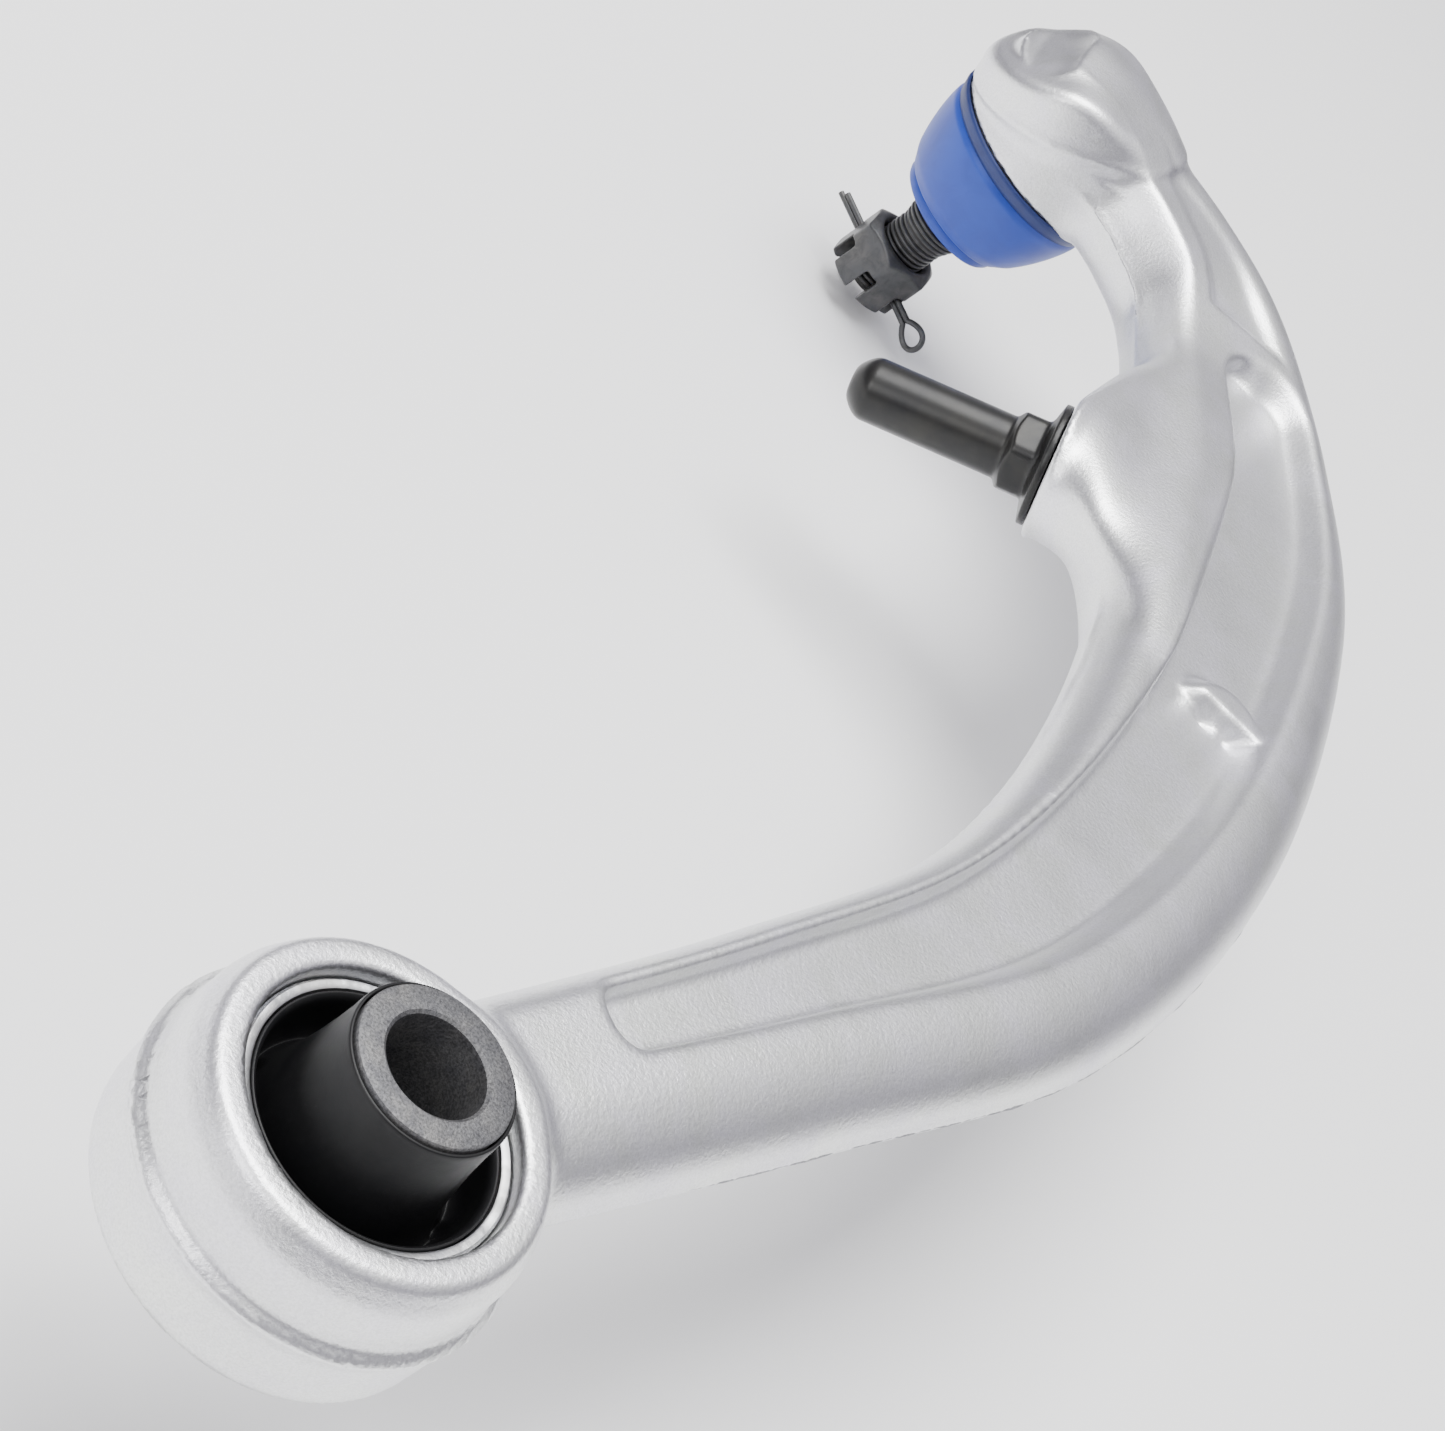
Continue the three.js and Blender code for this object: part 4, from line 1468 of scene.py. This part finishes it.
@dataclass
class MountingPin:
    """Pin, hexagon and flange in one piece, on the boss."""

    radius: float = 7.0
    length: float = 45.6
    flats: float = 17.0
    flange_radius: float = 13.5
    flange_thickness: float = 3.1
    flange_edge: float = 1.9
    buried: float = 16.0
    gap: float = 0.3
    step: float = 0.42

    def field(self, x: Array, y: Array, z: Array) -> Array:
        """Signed distance in the frame's own axes.

        Args:
            x: Coordinates along the frame's X.
            y: Coordinates along the frame's Y.
            z: Coordinates along the frame's Z.

        Returns:
            Signed distances, negative inside.
        """
        u, v, d = in_frame(PIN, x, y, z)
        out = off_axis(u, v)
        nose = out - self.radius + np.maximum(d - (self.length - 5.0), 0) ** 2 * 0.15
        shank = meet(nose, np.maximum(d - self.length, -d - self.buried), 0.8)
        flat = np.maximum(np.abs(u), np.maximum(np.abs(u * 0.5 + v * 0.866), np.abs(u * 0.5 - v * 0.866)))
        corner = self.flats / math.sqrt(3)
        chamfer = out - corner + 0.5 + 1.4 * np.maximum(d - PIN_HEX_END + 1.6, 0)
        hexagon = meet(flat - self.flats / 2, chamfer, 0.35)
        hexagon = meet(hexagon, np.maximum(d - PIN_HEX_END, -d + 0.5), 0.45)
        rise = np.clip((self.flange_radius - out) / 4.4, 0, 1) * (self.flange_thickness - self.flange_edge)
        flange = meet(out - self.flange_radius, np.maximum(d - self.flange_edge - rise, self.gap - d), 0.35)
        return join(join(shank, hexagon, 0.7), flange, 1.0)

    def build(self, paint: Paintbox) -> None:
        """Makes the pin.

        Args:
            paint: The finishes.
        """
        room = box_along(PIN, -self.buried, self.length, 15)
        pin = FieldMesher(self.step).mesh("mounting_pin", self.field, *room)
        paint.dress(pin, PHOSPHATE)
        settle_piece(pin, Body.ARM, "mount_pin")


# ---------------------------------------------------------------- the ball joint


@dataclass
class Boot:
    """Rubber boot: a rim band, a belly in two halves, and a lip round the stud."""

    seat_at: float = 8.54
    band_end: float = 11.6
    rim_radius: float = 24.9
    belly_radius: float = 24.0
    lip_radius: float = 14.8
    start: float = 13.0
    split: float = 21.8
    lip_at: float = 32.5
    end: float = 35.5
    wall: float = 2.0
    inner_rim: float = 24.1
    ring_clearance: float = 11.4
    rounding: float = 0.75
    segments: int = 192

    def _radius(self, at: Array) -> Array:
        """Outer radius of the belly at a distance along the axis.

        Args:
            at: Distances along the axis.

        Returns:
            Radii.
        """
        share = np.clip((at - self.start) / (self.end - self.start), 0, 1)
        return self.lip_radius + (self.belly_radius - self.lip_radius) * (
            1 - share ** (2 * self.rounding)
        ) ** self.rounding

    def _skirt(self) -> bpy.types.Object:
        """The half of the belly next to the housing.

        Returns:
            The new object.
        """
        at = np.linspace(self.band_end + 0.2, self.split, 26)
        waist = 0.7 * (1 - smoothstep(self.band_end, self.band_end + 2.4, at))
        outside = np.c_[self._radius(at) - waist, at]
        lining = outside[::-1] - np.array([self.wall, 0.0])
        return turned_piece("boot_belly", np.vstack([outside, lining]).tolist(), BALL, self.segments)

    def _rim(self) -> bpy.types.Object:
        """The band that holds the boot on its seat.

        Returns:
            The new object.
        """
        low, high, inner, outer = self.seat_at, self.band_end + 0.6, self.inner_rim, self.rim_radius
        profile = [
            (inner, low + 0.15), (inner + 0.15, low), (outer - 0.3, low), (outer, low + 0.35),
            (outer - 0.05, low + 1.1), (outer - 0.75, high - 0.9), (outer - 1.2, high),
            (inner - 1.4, high), (inner - 1.5, high - 0.3), (inner, high - 0.9),
        ]  # fmt: skip
        return turned_piece("boot_rim_band", profile, BALL, self.segments)

    def _neck(self) -> bpy.types.Object:
        """The half of the belly next to the stud, with the lip.

        Returns:
            The new object.
        """
        at = np.linspace(self.split, self.lip_at - 0.3, 24)
        groove = 0.6 * smoothstep(self.lip_at - 4.0, self.lip_at - 0.3, at)
        outside = np.c_[self._radius(at) - groove, at]
        lip = [
            (self.lip_radius + 0.6, self.lip_at - 0.1),
            (self.lip_radius + 0.9, self.lip_at + 0.35),
            (self.lip_radius + 0.9, self.end - 0.8),
            (self.lip_radius + 0.5, self.end - 0.2),
            (self.lip_radius + 0.1, self.end),
            (self.lip_radius - 1.0, self.end),
            (self.ring_clearance, self.end),
            (self.ring_clearance, self.lip_at - 0.6),
        ]
        lining = (outside - np.array([self.wall, 0.0]))[::-1]
        lining = lining[lining[:, 0] > self.ring_clearance + 0.2]
        lining = lining[lining[:, 1] < self.lip_at - 1.0]
        return turned_piece("boot_lip_half", [*outside.tolist(), *lip, *lining.tolist()], BALL, self.segments)

    def build(self, paint: Paintbox) -> None:
        """Makes the rim and the two halves; the halves stay fixed where they are made and ride on no body.

        Args:
            paint: The finishes.
        """
        rim, skirt, neck = self._rim(), self._skirt(), self._neck()
        # The rim band takes the darkened rubber, which paints the shade of its groove.
        paint.dress(rim, BOOT_RIM_PAINTED_SHADE)
        settle_piece(rim, Body.ARM)
        axis = [tuple((BALL @ Vector((0, 0, at))) * MM) for at in (self.band_end, self.split, self.lip_at)]
        for piece, node, bodies, ends in (
            (skirt, "boot_skirt", (Body.ARM, Body.BOOT_TILT), axis[:2]),
            (neck, "boot_neck", (Body.BOOT_TILT, Body.STUD_TILT), axis[1:]),
        ):
            sharpen(piece, 50)
            paint.dress(piece, BLUE_RUBBER)
            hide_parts(node)
            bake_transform(piece)
            LOG.info("%s bends from %s to %s", piece.name, bodies[0].value, bodies[1].value)


@dataclass
class Stud:
    """Ball, neck, taper and thread."""

    ball_radius: float = 12.5
    neck_radius: float = 5.8
    taper_radius: float = 9.4
    taper_at: float = 30.0
    thread_from: float = 37.0
    thread_radius: float = 7.0
    thread_full_at: float = 44.0
    end: float = 64.0
    pitch: float = 1.5
    thread_depth: float = 0.5

    def _core(self) -> bpy.types.Object:
        """The stud without its thread.

        Returns:
            The new object.
        """
        neck_at = math.sqrt(self.ball_radius**2 - self.neck_radius**2)
        angles = np.linspace(-math.pi / 2, math.asin(neck_at / self.ball_radius), 40)
        ball = [(self.ball_radius * math.cos(a), self.ball_radius * math.sin(a)) for a in angles]
        ball[0] = (0.0, -self.ball_radius)
        root = self.thread_radius - self.thread_depth
        rest = [
            (self.neck_radius, neck_at + 2.5), (self.neck_radius + 0.2, neck_at + 5.0),
            (self.taper_radius, self.taper_at), (self.taper_radius - 0.1, self.thread_from - 1.5),
            (self.taper_radius - 0.7, self.thread_from - 0.5), (root + 0.2, self.thread_full_at),
            (root, self.thread_full_at + 1), (root, self.end - 1.2), (root - 1.0, self.end), (0.0, self.end),
        ]  # fmt: skip
        core = turned_piece("ball_stud_core", [*ball, *rest], BALL, 96)
        sharpen(core, 40)
        return core

    def _thread(self, material: bpy.types.Material) -> bpy.types.Object:
        """The thread: a conical run-out that becomes a straight helix.

        Args:
            material: The finish.

        Returns:
            The new object.
        """
        length = self.end - 1.5 - self.thread_from
        tree = PathTree(
            "thread_helix",
            {
                "Length": length * MM,
                "Run-out Radius": (self.taper_radius - 0.75) * MM,
                "Root Radius": (self.thread_radius - self.thread_depth) * MM,
                "Run-out Share": (self.thread_full_at - self.thread_from) / length,
                "Turns": length / self.pitch,
                "Crest": self.thread_depth * MM * 1.15,
            },
        )
        line = tree.add("GeometryNodeCurvePrimitiveLine", mode="DIRECTION", direction=(0, 0, 1))
        samples = tree.add("GeometryNodeResampleCurve", mode="COUNT", count=int(length / self.pitch * 40))
        share = tree.add("GeometryNodeSplineParameter").outputs["Factor"]
        angle = tree.math("MULTIPLY", share, tree.math("MULTIPLY", tree.entry["Turns"], 2 * math.pi))
        run = tree.add("ShaderNodeMapRange", clamp=True)
        place = tree.add("ShaderNodeCombineXYZ")
        for axis, wave in (("X", "COSINE"), ("Y", "SINE")):
            turn = tree.math(wave, angle)
            tree.wire((tree.math("MULTIPLY", turn, run.outputs[0]), place.inputs[axis]))
        move = tree.add("GeometryNodeSetPosition")
        tree.wire(
            (share, run.inputs["Value"]),
            (tree.entry["Run-out Share"], run.inputs["From Max"]),
            (tree.entry["Run-out Radius"], run.inputs["To Min"]),
            (tree.entry["Root Radius"], run.inputs["To Max"]),
            (tree.math("MULTIPLY", share, tree.entry["Length"]), place.inputs["Z"]),
            (tree.entry["Length"], line.inputs["Length"]),
            (line.outputs[0], samples.inputs["Curve"]),
            (samples.outputs[0], move.inputs["Geometry"]),
            (place.outputs[0], move.inputs["Position"]),
        )
        tree.sweep(move.outputs[0], "Crest", 6, material)
        thread = tree.grow("stud_thread", np.zeros((2, 3)))
        start = BALL @ Vector((0, 0, self.thread_from))
        thread.data.transform(Matrix.Translation(start * MM) @ BALL.to_3x3().to_4x4())
        return thread

    def build(self, paint: Paintbox) -> None:
        """Makes the stud and its thread.

        Args:
            paint: The finishes.
        """
        core = self._core()
        thread = self._thread(paint.material(ROUGH_PHOSPHATE))
        paint.dress(core, PHOSPHATE)
        settle_piece(core, Body.STUD, "ball_stud")
        settle_piece(thread, Body.STUD)


@dataclass
class CastleNut:
    """Slotted hexagon nut on the stud's thread."""

    at: float = 49.5
    height: float = 16.0
    flats: float = 21.0
    bore: float = 7.35
    slot_depth: float = 8.5
    slot_width: float = 4.0
    turn: float = math.radians(120)
    step: float = 0.36

    def field(self, x: Array, y: Array, z: Array) -> Array:
        """Signed distance in the frame's own axes.

        Args:
            x: Coordinates along the frame's X.
            y: Coordinates along the frame's Y.
            z: Coordinates along the frame's Z.

        Returns:
            Signed distances, negative inside.
        """
        u, v, d = in_frame(BALL, x, y, z)
        top, out = self.at + self.height, off_axis(u, v)
        angle = np.arctan2(v, u) - self.turn
        flat = out * np.cos((np.mod(angle + 2 * math.pi, math.pi / 3)) - math.pi / 6)
        corner = self.flats / math.sqrt(3)
        end = np.minimum(d - self.at, top - d)
        chamfer = out - corner + 0.25 + 1.5 * np.maximum(1.8 - end, 0)
        body = meet(meet(flat - self.flats / 2, chamfer, 0.4), -end, 0.5)
        mouth = out - self.bore - np.maximum(1.2 - end, 0) * 0.9
        body = meet(body, -mouth, 0.3)
        across = np.full_like(out, 99.0)
        for k in range(3):
            a = self.turn + k * math.pi / 3
            across = np.minimum(across, np.abs(v * math.cos(a) - u * math.sin(a)))
        slot = meet(across - self.slot_width / 2, top - self.slot_depth - d, 1.2)
        return meet(body, -slot, 0.35)

    def build(self, paint: Paintbox) -> None:
        """Makes the nut.

        Args:
            paint: The finishes.
        """
        room = box_along(BALL, self.at, self.at + self.height, 13.5)
        nut = FieldMesher(self.step).mesh("slotted_nut", self.field, *room)
        paint.dress(nut, ROUGH_PHOSPHATE)
        settle_piece(nut, Body.STUD, "castle_nut")


@dataclass
class CotterPin:
    """Two legs and an eye, bent from one wire, through the nut's slots."""

    at: float = 59.0
    turn: float = math.radians(120)
    wire: float = 0.78
    leg_offset: float = 0.72
    eye_radius: float = 3.1
    eye_length: float = 7.4
    neck: float = 15.4
    tails: tuple[float, float] = (-22.0, -20.6)

    def build(self, paint: Paintbox) -> None:
        """Makes the cotter pin.

        Args:
            paint: The finishes.
        """
        neck = self.neck
        reach = neck + 1.2
        turns = np.linspace(0.0, 1.0, 34)[1:-1]
        swing = 2 * math.pi * turns
        width = self.eye_radius * np.sin(swing) * np.sin(math.pi * turns) ** 0.8
        out = reach + self.eye_length * (1 - np.cos(swing)) / 2
        plan = [
            *[(x, self.leg_offset) for x in np.linspace(self.tails[0], neck - 1.5, 24)],
            *zip(out, width + self.leg_offset * np.cos(math.pi * turns)),
            *[(x, -self.leg_offset) for x in np.linspace(neck - 1.5, self.tails[1], 24)],
        ]
        along = Vector((math.cos(self.turn), math.sin(self.turn), 0))
        middle = Vector((0, 0, self.at))
        rise = Vector((0, 0, 1))
        points = np.array([tuple(BALL @ (middle + along * x + rise * y)) for x, y in plan])
        tree = sweep_tree("cotter_sweep", self.wire, 0.0, paint.material(ROUGH_PHOSPHATE))
        pin = tree.grow("cotter_wire", points)
        settle_piece(pin, Body.STUD, "cotter_pin")


@dataclass
class HiddenPieces:
    """Nodes that stay as the frame has them, each in its own finish."""

    finishes: tuple[tuple[str, Finish], ...] = (
        ("ball_seat", ACETAL),
        ("ball_seat_ring", ACETAL),
        ("retaining_ring", ZINC),
        ("boot_base_ring", ZINC),
        ("boot_neck_ring", PHOSPHATE),
    )

    def build(self, paint: Paintbox) -> None:
        """Dresses the nodes.

        Args:
            paint: The finishes.
        """
        for node, finish in self.finishes:
            paint.dress_node(node, finish)
            LOG.info("%s keeps its mesh, in %s", node, finish.name)


# ---------------------------------------------------------------- studio


@dataclass
class Studio:
    """Pale floor, soft light and the camera."""

    floor_drop: float = 0.004
    floor_half: float = 4.0
    floor_colour: Colour = (0.93, 0.93, 0.93)
    backdrop_colour: Colour = (0.86, 0.86, 0.87)
    sky_strength: float = 1.45
    lamps_aim: Point = (0.22, -0.05, 0.0)
    camera_at: Point = (-0.2421, 0.0460, 0.2518)
    camera_right: Point = (0.3023, -0.7286, 0.6146)
    camera_up: Point = (0.4843, 0.6728, 0.5593)
    lens: float = 69.76

    # height above the horizon and colour; the last is the middle one
    SKY = (
        (0.08, (0.03, 0.026, 0.045)),
        (0.44, (1.0, 1.0, 1.0)),
        (0.25, (0.17, 0.16, 0.21)),
    )

    # name, place, size and power
    LAMPS = (("overhead", (0.35, 0.25, 1.3), 1.0, 34.0), ("left_fill", (-0.9, 0.7, 0.7), 0.7, 9.0))

    def _floor(self, low: float) -> None:
        """A plain pale floor under the lowest point.

        Args:
            low: Height of the object's lowest point, in metres.
        """
        half, z = self.floor_half / MM, (low - self.floor_drop) / MM
        points = np.array([(-half, -half, z), (half, -half, z), (half, half, z), (-half, half, z)])
        floor = mesh_piece("studio_floor", points, [(0, 1, 2, 3)])
        material, _, shader = new_material("pale_floor")
        shader["Base Color"].default_value = (*self.floor_colour, 1.0)
        shader["Roughness"].default_value = 0.8
        floor.data.materials.append(material)
        floor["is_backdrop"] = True

    def _sky(self) -> None:
        """Even light from above that falls off towards the horizon, behind a pale backdrop."""
        world = bpy.data.worlds.new("studio")
        bpy.context.scene.world = world
        world.use_nodes = True
        sky = Layout(world.node_tree)
        ramp = sky.add("ShaderNodeValToRGB")
        bands = ramp.color_ramp.elements
        for element, (at, colour) in zip((*bands, bands.new(0.5)), self.SKY):
            element.position, element.color = at, (*colour, 1)
        split = sky.add("ShaderNodeSeparateXYZ")
        glow = sky.nodes["Background"]
        glow.inputs["Strength"].default_value = self.sky_strength
        backdrop = sky.add("ShaderNodeBackground")
        backdrop.inputs["Color"].default_value = (*self.backdrop_colour, 1.0)
        seen = sky.add("ShaderNodeMixShader")
        sky.wire(
            (sky.add("ShaderNodeTexCoord").outputs["Generated"], split.inputs[0]),
            (split.outputs["Z"], ramp.inputs["Fac"]),
            (ramp.outputs["Color"], glow.inputs["Color"]),
            (sky.add("ShaderNodeLightPath").outputs["Is Camera Ray"], seen.inputs[0]),
            (glow.outputs[0], seen.inputs[1]),
            (backdrop.outputs[0], seen.inputs[2]),
            (seen.outputs[0], sky.nodes["World Output"].inputs["Surface"]),
        )

    def _lamp(self, name: str, at: Point, size: float, power: float) -> None:
        """A soft square light aimed at the object.

        Args:
            name: The light's name.
            at: Its place, in metres.
            size: Side of the square, in metres.
            power: Its power, in watts.
        """
        data = bpy.data.lights.new(name, "AREA")
        data.size, data.energy = size, power
        lamp = bpy.data.objects.new(name, data)
        lamp.location = at
        lamp.rotation_euler = (Vector(self.lamps_aim) - Vector(at)).to_track_quat("-Z", "Y").to_euler()
        bpy.context.scene.collection.objects.link(lamp)

    def _camera(self) -> None:
        """The camera, looking down on the bush end."""
        data = bpy.data.cameras.new("view")
        data.lens, data.sensor_width = self.lens, 36.0
        data.clip_start, data.clip_end = 0.01, 20.0
        camera = bpy.data.objects.new("view", data)
        right, up = Vector(self.camera_right).normalized(), Vector(self.camera_up).normalized()
        turn = Matrix((right, up, right.cross(up))).transposed().to_4x4()
        camera.matrix_world = Matrix.Translation(Vector(self.camera_at)) @ turn
        bpy.context.scene.collection.objects.link(camera)
        bpy.context.scene.camera = camera

    def build(self, low: float) -> None:
        """Sets the studio up.

        Args:
            low: Height of the object's lowest point, in metres.
        """
        self._floor(low)
        self._sky()
        for lamp in self.LAMPS:
            self._lamp(*lamp)
        self._camera()


def main() -> None:
    """Builds the pieces in order and dresses them."""
    logging.basicConfig(level=logging.INFO, format="%(name)s: %(message)s")
    cad_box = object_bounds()
    Studio().build(cad_box[0].z)
    paint = Paintbox()
    for part in (Forging(), Bush(), MountingPin(), Boot(), Stud(), CastleNut(), CotterPin(), HiddenPieces()):
        part.build(paint)
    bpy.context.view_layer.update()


if __name__ == "__main__":
    main()
